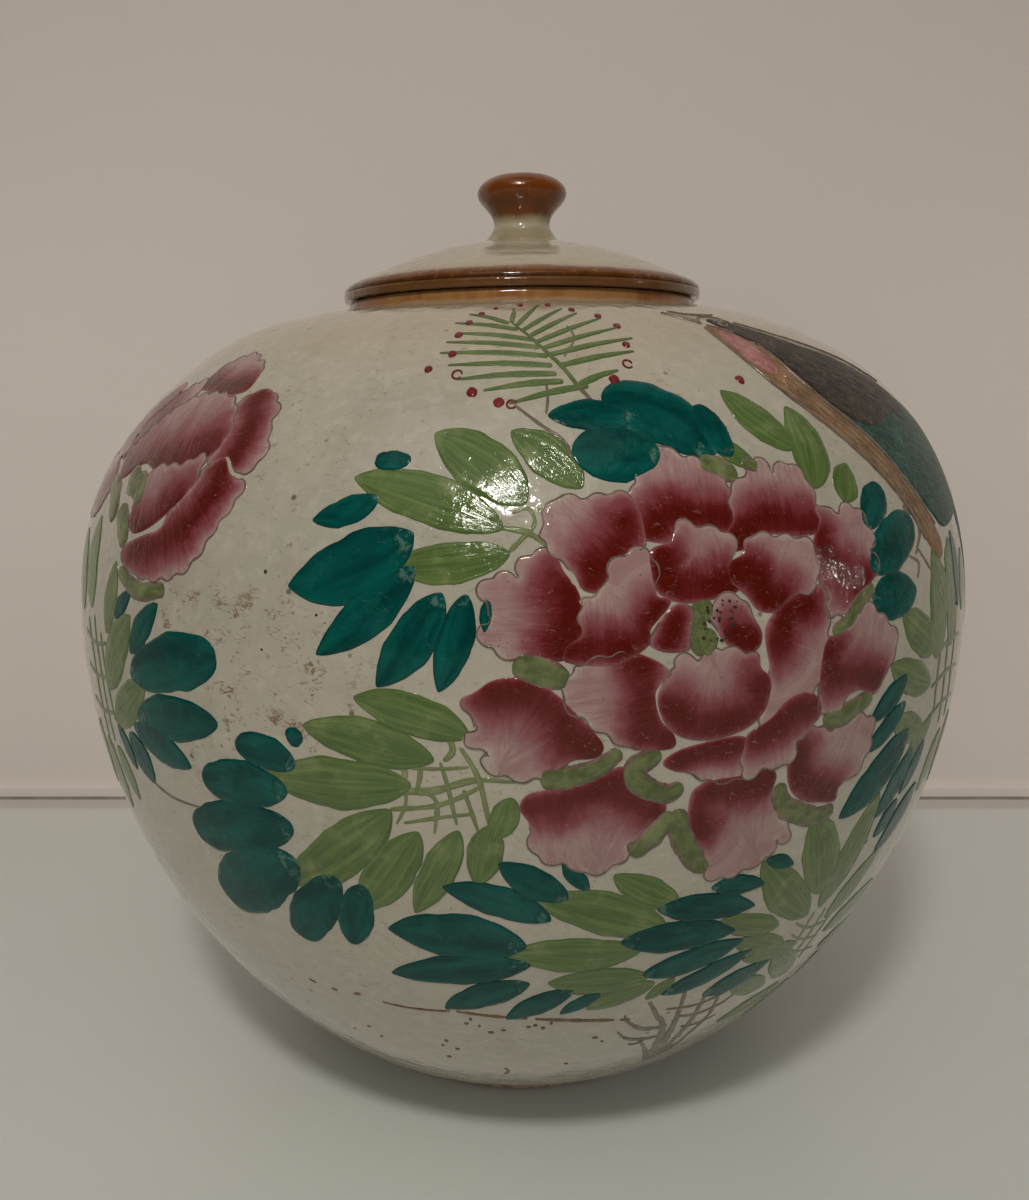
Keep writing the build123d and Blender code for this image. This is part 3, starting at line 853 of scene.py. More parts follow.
STALKS_SIDES = (
    (((-57.6, 6.0), (-56.0, -6.0), (-55.4, -22.0)), (1.6, 1.6, 1.2)),
    (((-55.0, 7.0), (-53.6, -6.0), (-53.0, -22.0)), (1.3, 1.3, 1.0)),
    (((-52.6, 4.0), (-51.8, -6.0), (-50.8, -16.0)), (1.2, 1.2, 1.0)),
    (((-59.6, 2.0), (-55.0, 0.6), (-50.4, 2.0)), (1.2, 1.2, 0.9)),
    (((-59.8, -6.0), (-55.0, -7.0), (-50.6, -5.6)), (1.2, 1.2, 0.9)),
    (((-59.6, -14.0), (-55.0, -15.0), (-50.4, -13.6)), (1.2, 1.2, 0.9)),
    (((53.8, 9.0), (53.4, -4.0), (54.4, -18.0)), (1.6, 1.6, 1.2)),
    (((56.8, 9.0), (56.4, -4.0), (57.2, -18.0)), (1.3, 1.3, 1.0)),
    (((51.0, 4.0), (50.6, -5.0), (51.2, -14.0)), (1.2, 1.2, 1.0)),
    (((49.4, 0.0), (54.0, 1.6), (59.6, 1.0)), (1.2, 1.2, 0.9)),
    (((48.8, -7.0), (54.0, -5.4), (59.8, -6.2)), (1.2, 1.2, 0.9)),
    (((49.2, -14.4), (54.0, -12.6), (59.8, -13.4)), (1.2, 1.2, 0.9)),
)

# The fern at the shoulder: needles are (tip, base), in azimuth and s
FERN = (
    (-9.5, 89.4, -2.2, 83.4), (-11.0, 84.1, -0.8, 80.5), (-10.1, 79.2, 1.4, 76.2), (-11.0, 75.5, 2.1, 73.4),
    (-11.3, 71.6, 3.1, 70.5), (-9.7, 67.6, 3.5, 67.5), (-8.3, 63.4, 3.9, 65.1), (-4.9, 60.4, 4.6, 63.0),
    (-1.9, 57.1, 7.4, 61.9), (-1.9, 94.1, -2.0, 84.0), (3.0, 97.3, -1.2, 82.4), (7.1, 93.7, -0.4, 80.0),
    (9.2, 90.1, 0.6, 77.6), (12.6, 86.9, 1.4, 75.2), (14.2, 81.9, 2.2, 73.0), (15.5, 77.3, 3.0, 70.8),
    (14.6, 72.3, 4.2, 67.4), (11.5, 66.2, 6.0, 61.9),
)
FERN_STEM = ((6.0, 61.9), (4.6, 66.9), (2.8, 71.9), (1.0, 76.9), (-0.8, 81.2), (-2.2, 84.8))
TWIGS = (
    (((7.8, 56.2), (6.9, 59.2), (6.0, 61.9), (4.6, 66.9)), (0.9, 1.0, 0.9, 0.5)),
    (((-1.3, 57.1), (1.4, 52.6), (3.9, 48.7), (4.6, 44.8)), (0.6, 0.8, 0.9, 0.8)),
    (((6.3, 83.0), (6.9, 77.0), (4.9, 70.0)), (0.5, 0.7, 0.6)),
    (((2.4, 64.1), (2.5, 59.0), (2.2, 54.5)), (0.5, 0.7, 0.6)),
)
BERRIES = (
    (-0.7, 96.4, 1.3), (4.6, 96.6, 1.3), (8.5, 92.3, 1.3), (12.3, 88.0, 1.3), (14.2, 82.6, 1.3),
    (13.8, 74.6, 1.2), (10.5, 63.5, 1.4), (27.1, 63.6, 1.3), (-2.9, 57.5, 1.3), (-6.0, 60.1, 1.4),
    (-9.4, 71.2, 1.2), (-9.4, 78.4, 1.3), (-8.6, 84.1, 1.3), (-7.2, 89.2, 1.3), (-5.1, 93.5, 0.9),
    (-11.9, 66.4, 1.1),
)
BERRY_RINGS = ((12.8, 68.0, 1.2), (-8.1, 64.8, 1.2), (-1.5, 57.0, 1.0))

# Bare roots and the ground line under the spray, in grey-brown: (path, widths)
ROOTS = (
    (((15.3, -71.5), (17.2, -78.0), (19.4, -85.5), (22.0, -107.0)), (1.0, 2.0, 3.6, 5.2)),
    (((19.8, -68.6), (20.4, -77.0), (21.1, -86.5), (22.4, -107.0)), (1.0, 1.9, 3.4, 5.6)),
    (((23.4, -70.6), (23.6, -79.0), (23.8, -86.5), (23.2, -108.0)), (1.0, 1.8, 2.6, 4.4)),
    (((25.7, -73.0), (26.3, -80.0), (26.6, -86.5), (24.6, -105.0)), (0.8, 1.4, 1.8, 2.0)),
    (((12.6, -75.6), (13.4, -79.0), (16.0, -83.6), (19.6, -85.0)), (0.6, 1.4, 1.9, 1.4)),
    (((12.4, -83.0), (14.4, -87.6), (17.6, -89.8), (19.4, -89.6)), (0.6, 1.2, 1.6, 1.2)),
    (((16.6, -90.2), (18.0, -94.0), (20.0, -101.0), (22.0, -108.0)), (0.8, 1.4, 2.0, 2.6)),
    (((15.0, -91.0), (16.2, -91.8), (17.6, -90.6)), (0.5, 1.0, 0.7)),
    (((18.0, -76.2), (22.6, -77.4), (26.4, -75.6), (28.0, -72.6)), (0.6, 1.1, 0.9, 0.5)),
    (((20.4, -80.6), (23.8, -82.2), (27.6, -80.4), (29.4, -76.4)), (0.8, 1.2, 0.9, 0.5)),
    (((22.4, -87.0), (25.4, -88.2), (28.6, -86.2)), (0.8, 1.0, 0.5)),
)
GROUND = (
    (((-28.0, -71.0), (-26.6, -71.6)), (0.8, 0.6)),
    (((-24.8, -72.0), (-23.6, -72.4)), (0.7, 0.9)),
    (((-21.6, -72.0), (-20.2, -71.4)), (1.1, 0.7)),
    (((-17.8, -72.8), (-14.0, -73.4), (-9.2, -73.0)), (0.5, 0.6, 0.6)),
    (((-9.4, -71.4), (-9.0, -73.4)), (1.0, 0.8)),
    (((-8.4, -72.6), (-4.2, -73.6), (0.6, -74.4)), (0.8, 1.0, 1.0)),
    (((1.2, -74.6), (6.0, -75.8), (11.6, -77.4)), (1.0, 1.4, 1.2)),
    (((12.0, -77.6), (13.8, -77.9)), (0.7, 0.6)),
)
SPECKS = (
    (-6.6, -75.4), (-7.2, -77.4), (-5.6, -78.2), (-4.2, -80.8), (-2.6, -79.6), (0.6, -78.0), (1.4, -77.4),
    (-10.6, -86.8), (-11.4, -89.6), (-9.4, -90.8), (9.6, -84.8), (10.8, -87.2), (-22.0, -86.6),
    (-25.4, -90.6), (-21.0, -91.0), (-11.2, -96.4), (6.6, -99.4), (2.4, -78.6), (3.4, -76.6),
)
TENDRILS = (
    (((45.6, 33.4), (44.6, 31.8), (46.4, 30.4), (47.0, 27.0), (45.6, 23.6), (44.9, 22.2)),
     (0.6, 1.1, 0.9, 1.0, 0.9, 0.5)),
    (((43.4, 22.5), (45.4, 20.6), (44.6, 17.3)), (0.5, 0.9, 0.5)),
    (((-44.6, -25.4), (-40.3, -27.6), (-35.0, -27.5)), (0.5, 0.6, 0.4)),
    (((45.6, 23.7), (48.3, 18.3), (49.2, 16.0)), (0.6, 0.8, 0.5)),
    (((45.4, 36.0), (45.6, 32.6), (44.6, 30.6)), (0.7, 0.9, 0.6)),
    (((45.6, 32.6), (46.8, 30.8)), (0.7, 0.5)),
)

# The bird: areas of colour, and the strokes on them
BIRD_BACK = (
    (32.6, 87.2), (35.6, 87.8), (38.4, 85.2), (41.6, 81.6), (44.4, 78.6), (47.6, 75.6), (51.2, 73.4),
    (54.6, 70.1), (58.1, 65.6), (61.3, 61.2), (63.1, 56.7), (60.4, 54.6), (57.3, 54.3), (51.0, 52.8),
    (45.4, 50.6), (41.4, 53.4), (38.9, 59.0), (37.4, 67.0), (36.6, 74.6), (34.4, 80.0),
)
BIRD_TAIL = (
    (40.6, 55.0), (45.2, 57.0), (51.0, 59.2), (57.4, 60.8), (62.6, 58.6), (68.5, 50.0), (71.0, 40.0),
    (68.5, 30.6), (62.0, 27.6), (54.8, 26.2), (51.6, 30.0), (49.0, 35.0), (46.4, 40.6), (42.8, 47.6),
)
BIRD_PLUMES = (
    ((63.5, 31.0), (66.4, 20.0), (68.0, 9.0), (68.4, -2.0)),
    ((66.0, 33.0), (70.0, 22.0), (72.6, 10.0), (73.6, -1.0)),
    ((68.5, 37.0), (73.4, 28.0), (77.4, 17.0), (79.8, 6.0)),
)
BIRD_BELLY = (
    (30.8, 84.1), (30.1, 79.0), (29.8, 75.0), (30.7, 68.3), (32.7, 60.3), (36.3, 52.2), (41.2, 42.4),
    (44.8, 34.4), (48.3, 24.6), (51.0, 20.1), (52.6, 22.0), (51.7, 27.2), (47.2, 37.9), (43.7, 46.9),
    (38.7, 57.6), (37.0, 66.4), (36.0, 74.6), (33.8, 80.2),
)
BIRD_THROAT = (
    (30.9, 80.6), (30.4, 76.0), (30.8, 70.0), (32.6, 65.2), (34.6, 66.4), (35.2, 72.0), (34.4, 77.4),
    (32.6, 80.8),
)
BIRD_STROKES = (
    (((38.4, 86.8), (44.0, 81.4), (50.0, 76.6), (56.0, 71.6), (62.0, 63.6)), (0.15, 0.25, 0.2, 0.25, 0.15)),
    (((25.1, 91.4), (27.6, 89.0), (30.6, 86.4)), (0.5, 1.0, 1.5)),
    (((25.6, 90.8), (28.4, 87.6), (30.6, 85.2)), (0.4, 0.8, 1.2)),
    (((27.0, 92.6), (30.4, 90.8), (34.2, 90.6), (37.4, 91.2)), (0.3, 0.5, 0.5, 0.4)),
    (((30.4, 86.0), (31.4, 88.4), (33.8, 89.6), (36.6, 88.6), (37.6, 85.8)), (0.4, 0.5, 0.5, 0.5, 0.4)),
    (((33.0, 85.2), (34.4, 86.9), (36.0, 85.6), (34.8, 84.0), (33.2, 84.8)), (0.35, 0.45, 0.45, 0.4, 0.3)),
    (((30.6, 84.4), (32.6, 82.6), (34.6, 80.8)), (0.3, 0.5, 0.4)),
    (((29.8, 83.6), (29.6, 77.0), (30.6, 68.3), (32.6, 60.3), (36.2, 52.2), (41.1, 42.4), (44.7, 34.4),
      (48.2, 24.6)), (0.7, 0.8, 0.8, 0.8, 0.8, 0.8, 0.7, 0.5)),
    (((35.9, 76.6), (36.9, 66.4), (38.9, 57.6), (43.9, 46.9), (47.4, 37.9), (51.9, 27.2)),
     (0.6, 0.8, 0.9, 0.9, 0.8, 0.5)),
    (((33.2, 62.0), (35.6, 55.6), (40.2, 46.8), (44.6, 37.0), (49.0, 25.6)), (0.3, 0.45, 0.4, 0.45, 0.3)),
    (((33.8, 63.6), (36.2, 57.2), (41.0, 47.6), (45.4, 37.8), (49.8, 26.4)), (0.3, 0.4, 0.4, 0.4, 0.3)),
    (((34.6, 65.2), (37.0, 58.6), (41.9, 48.4), (46.2, 38.4), (50.4, 27.6)), (0.3, 0.45, 0.4, 0.45, 0.3)),
    (((35.4, 67.4), (37.8, 59.4), (42.8, 49.2), (46.8, 39.4), (51.0, 28.4)), (0.3, 0.4, 0.4, 0.4, 0.3)),
)
BIRD_EYE = (34.4, 85.6)
PINHOLES = ((-24.9, 22.6, 0.45), (-19.1, 15.6, 0.3), (-24.8, 8.4, 0.3), (6.1, -26.9, 0.35), (13.9, 45.5, 0.3))


# Materials


def tone(red, green, blue):
    """A colour given as sRGB values from 0 to 255, as linear RGBA."""
    shares = [value / 255 for value in (red, green, blue)]
    linear = [x / 12.92 if x <= 0.04045 else ((x + 0.055) / 1.055) ** 2.4 for x in shares]
    return (*linear, 1.0)


class Graph:
    """A material's nodes, with one short call for each kind."""

    def __init__(self, name):
        self.material = bpy.data.materials.new(name)
        self.material.use_nodes = True
        self.nodes = self.material.node_tree.nodes
        self.links = self.material.node_tree.links
        self.nodes.clear()
        self.position = self.node("ShaderNodeTexCoord").outputs["Object"]

    def node(self, kind, **settings):
        made = self.nodes.new(kind)
        for name, value in settings.items():
            setattr(made, name, value)
        return made

    def put(self, socket, value):
        """Link an output socket, or set a constant on the socket itself."""
        if isinstance(value, bpy.types.NodeSocket):
            self.links.new(value, socket)
        else:
            socket.default_value = value

    def attribute(self, name, output="Fac"):
        return self.node("ShaderNodeAttribute", attribute_name=name).outputs[output]

    def split(self, vector):
        made = self.node("ShaderNodeSeparateXYZ")
        self.put(made.inputs[0], vector)
        return made.outputs[0], made.outputs[1], made.outputs[2]

    def join(self, x, y, z):
        made = self.node("ShaderNodeCombineXYZ")
        for socket, value in zip(made.inputs, (x, y, z)):
            self.put(socket, value)
        return made.outputs[0]

    def scaled(self, vector, scale):
        made = self.node("ShaderNodeMapping", vector_type="POINT")
        self.put(made.inputs["Vector"], vector)
        made.inputs["Scale"].default_value = scale
        return made.outputs[0]

    def noise(self, vector, scale, detail=3.0, rough=0.5, distortion=0.0):
        made = self.node("ShaderNodeTexNoise")
        self.put(made.inputs["Vector"], vector)
        made.inputs["Scale"].default_value = scale
        made.inputs["Detail"].default_value = detail
        made.inputs["Roughness"].default_value = rough
        made.inputs["Distortion"].default_value = distortion
        return made.outputs["Fac"]

    def scattered(self, scale, output):
        made = self.node("ShaderNodeTexVoronoi")
        self.put(made.inputs["Vector"], self.position)
        made.inputs["Scale"].default_value = scale
        return made.outputs[output]

    def spots(self, scale):
        """Distance to the nearest of scattered points."""
        return self.scattered(scale, "Distance")

    def cells(self, scale):
        """A random value for each cell round scattered points."""
        return self.split(self.scattered(scale, "Color"))[0]

    def math(self, operation, a, b=0.0):
        made = self.node("ShaderNodeMath", operation=operation)
        self.put(made.inputs[0], a)
        self.put(made.inputs[1], b)
        return made.outputs[0]

    def times(self, a, b):
        return self.math("MULTIPLY", a, b)

    def plus(self, a, b):
        return self.math("ADD", a, b)

    def minus(self, a, b):
        return self.math("SUBTRACT", a, b)

    def fade(self, value, start, end, low=0.0, high=1.0):
        """A smooth step of value from start to end, as low to high."""
        made = self.node("ShaderNodeMapRange", interpolation_type="SMOOTHSTEP")
        self.put(made.inputs["Value"], value)
        for name, number in (("From Min", start), ("From Max", end), ("To Min", low), ("To Max", high)):
            made.inputs[name].default_value = number
        return made.outputs["Result"]

    def mix(self, factor, a, b):
        made = self.node("ShaderNodeMix", data_type="RGBA")
        self.put(made.inputs["Factor"], factor)
        self.put(made.inputs[6], a)
        self.put(made.inputs[7], b)
        return made.outputs[2]

    def bump(self, height, distance):
        made = self.node("ShaderNodeBump")
        self.put(made.inputs["Height"], height)
        made.inputs["Distance"].default_value = distance
        return made.outputs["Normal"]

    def surface(self, **values):
        """End with a Principled shader, its sockets given by name with _ for spaces."""
        shader = self.node("ShaderNodeBsdfPrincipled")
        for name, value in values.items():
            self.put(shader.inputs[name.replace("_", " ")], value)
        output = self.node("ShaderNodeOutputMaterial")
        self.links.new(shader.outputs[0], output.inputs[0])
        return self.material


CREAM, CREAM_LIGHT, CREAM_DARK = tone(180, 173, 156), tone(192, 185, 170), tone(160, 150, 131)
CREAM_GREEN = tone(172, 168, 152)
STAIN, SPECK = tone(128, 96, 62), tone(70, 52, 36)
IRON, IRON_LIGHT, IRON_DARK = tone(112, 66, 28), tone(150, 100, 50), tone(80, 44, 18)
OCHRE, OCHRE_RED = tone(160, 118, 70), tone(140, 88, 54)
BISCUIT, BISCUIT_DARK = tone(176, 158, 132), tone(118, 92, 66)
CLAY_GRAIN, CLAY_SCORCH = (0.4, 0.68), (0.38, 0.7)


def cream_colour(g, mottling=1.0):
    """The cream glaze: cloudy, with iron specks and faint brown staining."""
    cloud = g.fade(g.noise(g.position, 26.0, 4.0, 0.6), 0.35, 0.68)
    base = g.mix(cloud, CREAM, CREAM_GREEN)
    curdle = g.fade(g.noise(g.position, 330.0, 3.0, 0.6), 0.45, 0.72, 0.0, 0.55)
    base = g.mix(curdle, base, CREAM_LIGHT)
    veil = g.fade(g.noise(g.position, 90.0, 5.0, 0.65), 0.52, 0.74, 0.0, 0.4 * mottling)
    base = g.mix(veil, base, CREAM_DARK)
    near = g.spots(260.0)
    rare = g.fade(g.cells(260.0), 0.9, 0.95)
    speck = g.times(g.fade(near, 0.2, 0.08), rare)
    base = g.mix(g.times(speck, 0.75), base, SPECK)
    dirt = g.noise(g.scaled(g.position, (1.0, 1.0, 1.7)), 620.0, 5.0, 0.75, 0.5)
    patch = g.fade(g.noise(g.position, 45.0, 3.0, 0.6), 0.4, 0.66, 0.1, 0.65)
    base = g.mix(g.times(g.fade(dirt, 0.57, 0.65), patch), base, tone(118, 100, 80))
    return base


# Where a look starts and is full, as heights and places in metres
STAIN_RISE, WARM_RISE = (0.165, 0.2), (0.175, 0.199)
WEAR_BOTTOM, WEAR_TOP = (0.096, 0.112), (0.15, 0.136)
WEAR_LEFT, WEAR_RIGHT, WEAR_FRONT = (-0.08, -0.066), (-0.022, -0.036), (-0.04, -0.06)
# The knob's darker neck foot is pooled glaze and painted shade where it meets the dome
KNOB_SKIRT_SHADE_AND_POOL, KNOB_OLIVE, KNOB_BROWN = (0.2204, 0.2186), (0.2214, 0.2236), (0.2228, 0.2244)

# The same as millimetres along the profile of the jar, and of the lid from its middle underneath
MOUTH_BLEED, MOUTH_BROWN = (112.2, 114.8), (114.4, 115.6)
BARE_START, BARE_END = (-145.4, -145.9), (-156.4, -155.9)
UNDER_LID, LIP_FACE = (51.0, 50.2), (54.2, 53.8)
GROOVE_START, GROOVE_END = (53.7, 54.1), (55.0, 54.6)
LID_BROWN, LID_HALO = (60.0, 57.4), (63.0, 58.6)


def shoulder_stain(g, base):
    """Brownish speckling that thickens towards the mouth, over a warmer ground."""
    z = g.split(g.position)[2]
    high = g.fade(z, *STAIN_RISE)
    grain = g.fade(g.noise(g.position, 420.0, 4.0, 0.7), 0.54, 0.7)
    patch = g.fade(g.noise(g.position, 60.0, 3.0, 0.6), 0.42, 0.66)
    share = g.times(g.times(high, grain), g.times(patch, 0.5))
    base = g.mix(share, base, STAIN)
    warm = g.times(g.fade(z, *WARM_RISE), 0.45)
    return g.mix(warm, base, tone(182, 160, 122))


def wear(g, base):
    """Brown scratches and rubbed grit on the left of the belly."""
    x, y, z = g.split(g.position)
    band = g.times(g.fade(z, *WEAR_BOTTOM), g.fade(z, *WEAR_TOP))
    side = g.times(g.fade(x, *WEAR_LEFT), g.fade(x, *WEAR_RIGHT))
    front = g.fade(y, *WEAR_FRONT)
    region = g.times(g.times(band, side), front)
    streak = g.noise(g.scaled(g.position, (0.7, 1.0, 1.6)), 600.0, 6.0, 0.8, 1.2)
    clump = g.noise(g.position, 190.0, 3.0, 0.6)
    marks = g.fade(g.plus(streak, g.times(clump, 0.7)), 0.93, 1.01)
    share = g.times(g.times(marks, region), 0.85)
    return g.mix(share, base, tone(118, 84, 62))


def iron_colour(g, scale=150.0, broken=0.8):
    """The iron-brown glaze, thin and orange where it breaks."""
    flow = g.fade(g.noise(g.position, scale, 5.0, 0.65), 0.36, 0.7)
    base = g.mix(flow, IRON, IRON_DARK)
    breaks = g.fade(g.noise(g.position, scale * 3.1, 3.0, 0.6), 0.54, 0.74, 0.0, broken)
    return g.mix(breaks, base, IRON_LIGHT)


def clay_colour(g, scale, detail, rough, limits):
    """Bare clay with brown scorching."""
    return g.mix(g.fade(g.noise(g.position, scale, detail, rough), *limits), BISCUIT, BISCUIT_DARK)


def glaze_relief(g):
    """The faint orange peel and pinholes of an old glaze."""
    peel = g.noise(g.position, 210.0, 2.0, 0.5)
    fine = g.noise(g.position, 900.0, 2.0, 0.5)
    pits = g.fade(g.spots(420.0), 0.02, 0.12)
    height = g.plus(peel, g.times(fine, 0.12))
    return g.plus(height, g.times(pits, 0.12))


GLAZE_DEPTH = 0.00034


def glazed(g, colour, low=0.05, high=0.13):
    """A glossy glaze over the colour, rougher where it is worn."""
    rough = g.fade(g.noise(g.position, 120.0, 4.0, 0.6), 0.35, 0.72, low, high)
    relief = g.bump(glaze_relief(g), GLAZE_DEPTH)
    coat = {"Coat_Weight": 0.25, "Coat_Roughness": 0.08}
    return g.surface(Base_Color=colour, Roughness=rough, Normal=relief, IOR=1.5, **coat)


def body_glaze(name):
    """Cream glaze with an iron-brown mouth and a bare foot, told apart along the profile."""
    g = Graph(name)
    run = g.attribute("run")
    base = wear(g, shoulder_stain(g, cream_colour(g)))
    ragged = g.times(g.noise(g.position, 95.0, 4.0, 0.6), 3.2)
    drop = g.plus(run, ragged)
    inside = g.fade(run, INSIDE_RUN - 100.0, INSIDE_RUN - 99.0)
    outside = g.minus(1.0, inside)
    mouth = g.times(g.fade(drop, *MOUTH_BROWN), outside)
    bleed = g.times(g.fade(drop, *MOUTH_BLEED), outside)
    base = g.mix(g.times(bleed, 0.55), base, tone(168, 122, 86))
    wash = g.fade(g.noise(g.scaled(g.position, (1.0, 1.0, 0.3)), 140.0, 4.0, 0.65), 0.36, 0.66)
    base = g.mix(mouth, base, g.mix(wash, OCHRE, OCHRE_RED))
    thin = g.times(g.noise(g.position, 60.0, 3.0, 0.6), 1.6)
    foot = g.minus(run, thin)
    bare = g.times(g.fade(foot, *BARE_START), g.fade(foot, *BARE_END))
    clay = clay_colour(g, 300.0, 5.0, 0.7, CLAY_GRAIN)
    base = g.mix(bare, base, clay)
    return glazed(g, base)


def lid_glaze(name):
    """Cream glaze with an iron-brown rolled edge, and bare clay underneath."""
    g = Graph(name)
    run = g.attribute("run")
    base = g.mix(0.35, cream_colour(g, 1.6), tone(186, 168, 134))
    ragged = g.times(g.noise(g.position, 120.0, 3.0, 0.6), 1.6)
    edge = g.fade(g.plus(run, ragged), *LID_BROWN)
    halo = g.fade(g.plus(run, ragged), *LID_HALO)
    base = g.mix(g.times(halo, 0.5), base, tone(170, 128, 80))
    base = g.mix(edge, base, iron_colour(g, 170.0))
    face = g.times(g.fade(run, *LIP_FACE), edge)
    base = g.mix(g.times(face, 0.65), base, tone(104, 72, 40))
    groove = g.times(g.fade(run, *GROOVE_START), g.fade(run, *GROOVE_END))
    base = g.mix(g.times(groove, 0.5), base, tone(64, 38, 18))
    under = g.fade(run, *UNDER_LID)
    clay = clay_colour(g, 260.0, 5.0, 0.7, CLAY_GRAIN)
    base = g.mix(under, base, clay)
    return glazed(g, base)


def knob_glaze(name):
    """A brown knob whose glaze thins to cream on the neck, with the foot of the neck darker olive: pooled
    glaze and painted shade.
    """
    g = Graph(name)
    z = g.split(g.position)[2]
    ragged = g.times(g.noise(g.position, 130.0, 3.0, 0.6), 0.0026)
    high = g.fade(g.plus(z, ragged), *KNOB_BROWN)
    base = g.mix(0.35, cream_colour(g, 1.6), tone(176, 156, 112))
    # pooled glaze and painted shade: the foot of the neck, where it meets the dome, is darker olive
    skirt_shade_and_pool = g.fade(z, *KNOB_SKIRT_SHADE_AND_POOL, 0.0, 0.6)
    base = g.mix(skirt_shade_and_pool, base, tone(138, 124, 88))
    olive = g.fade(g.plus(z, ragged), *KNOB_OLIVE, 0.0, 0.7)
    base = g.mix(olive, base, tone(128, 108, 66))
    iron = g.mix(0.5, iron_colour(g, 120.0, 0.35), tone(124, 62, 8))
    base = g.mix(high, base, iron)
    return glazed(g, base, 0.08, 0.2)


def biscuit(name):
    """Bare turned clay: matt, gritty, with brown scorching."""
    g = Graph(name)
    base = clay_colour(g, 70.0, 5.0, 0.65, CLAY_SCORCH)
    grit = g.fade(g.spots(900.0), 0.22, 0.06, 0.0, 0.6)
    base = g.mix(grit, base, tone(96, 74, 54))
    lines = g.noise(g.scaled(g.position, (0.2, 0.2, 9.0)), 240.0, 2.0, 0.5)
    height = g.plus(g.noise(g.position, 1400.0, 3.0, 0.6), lines)
    return g.surface(Base_Color=base, Roughness=0.82, Normal=g.bump(height, 0.0002))


ENAMEL_COAT = {"Coat_Weight": 0.04, "Coat_Roughness": 0.03}


def enamel(
    name, main, light, dark, streak, rim, pale_base=0.0, veins=0.0, lift=0.6, pale=CREAM_DARK, ior=1.38
):
    """A translucent brushed enamel: streaks along the stroke, a darker rim where it pools."""
    g = Graph(name)
    paint = g.attribute("paint", "Vector")
    along, across, seed = g.split(paint)
    edge = g.attribute("edge")
    local = g.join(along, across, seed)
    brush = g.noise(g.scaled(local, (streak[0], streak[1], 1.0)), 1.0, 4.0, 0.6, 0.3)
    pool = g.noise(g.position, 150.0, 4.0, 0.6)
    base = g.mix(g.fade(brush, 0.3, 0.7), dark, main)
    base = g.mix(g.fade(pool, 0.48, 0.74, 0.0, lift), base, light)
    if veins:
        wave = g.math("SINE", g.plus(g.times(across, 13.0), g.times(seed, 9.0)))
        line = g.times(g.fade(wave, 0.2, 0.95), g.fade(brush, 0.3, 0.62))
        base = g.mix(g.times(line, veins), base, dark)
        middle = g.fade(g.math("ABSOLUTE", across), 0.1, 0.02, 0.0, veins)
        base = g.mix(middle, base, dark)
    rimmed = g.fade(edge, 0.55, 0.12, 0.0, rim)
    base = g.mix(rimmed, base, dark)
    if pale_base:
        worn = g.noise(g.position, 620.0, 4.0, 0.7)
        arc = g.plus(along, g.times(g.times(across, across), 0.05))
        bulb = g.fade(arc, 0.17, 0.145)
        ring = g.times(bulb, g.fade(arc, 0.115, 0.15))
        flake = g.times(g.fade(worn, 0.5, 0.62), bulb)
        base = g.mix(g.times(flake, pale_base), base, pale)
        base = g.mix(g.times(ring, 0.7), base, dark)
    scratch = g.noise(g.scaled(g.position, (1.0, 1.0, 2.4)), 560.0, 5.0, 0.8, 1.2)
    rubbed = g.fade(g.noise(g.position, 75.0, 2.0, 0.5), 0.42, 0.62, 0.0, 0.4)
    base = g.mix(g.times(g.fade(scratch, 0.6, 0.68), rubbed), base, pale)
    height = g.plus(g.times(pool, 0.7), g.times(brush, 0.3))
    height = g.plus(height, g.times(g.noise(g.position, 700.0, 2.0), 0.15))
    rough = g.fade(pool, 0.35, 0.75, 0.06, 0.17)
    relief = g.bump(height, 0.0004)
    return g.surface(Base_Color=base, Roughness=rough, Normal=relief, IOR=ior, **ENAMEL_COAT)


MARGIN, WHITE_PETAL, PINK_PETAL = tone(176, 160, 148), tone(166, 138, 132), tone(150, 110, 110)
ROSE, CRIMSON, CRIMSON_DARK = tone(128, 66, 70), tone(102, 34, 35), tone(84, 20, 11)


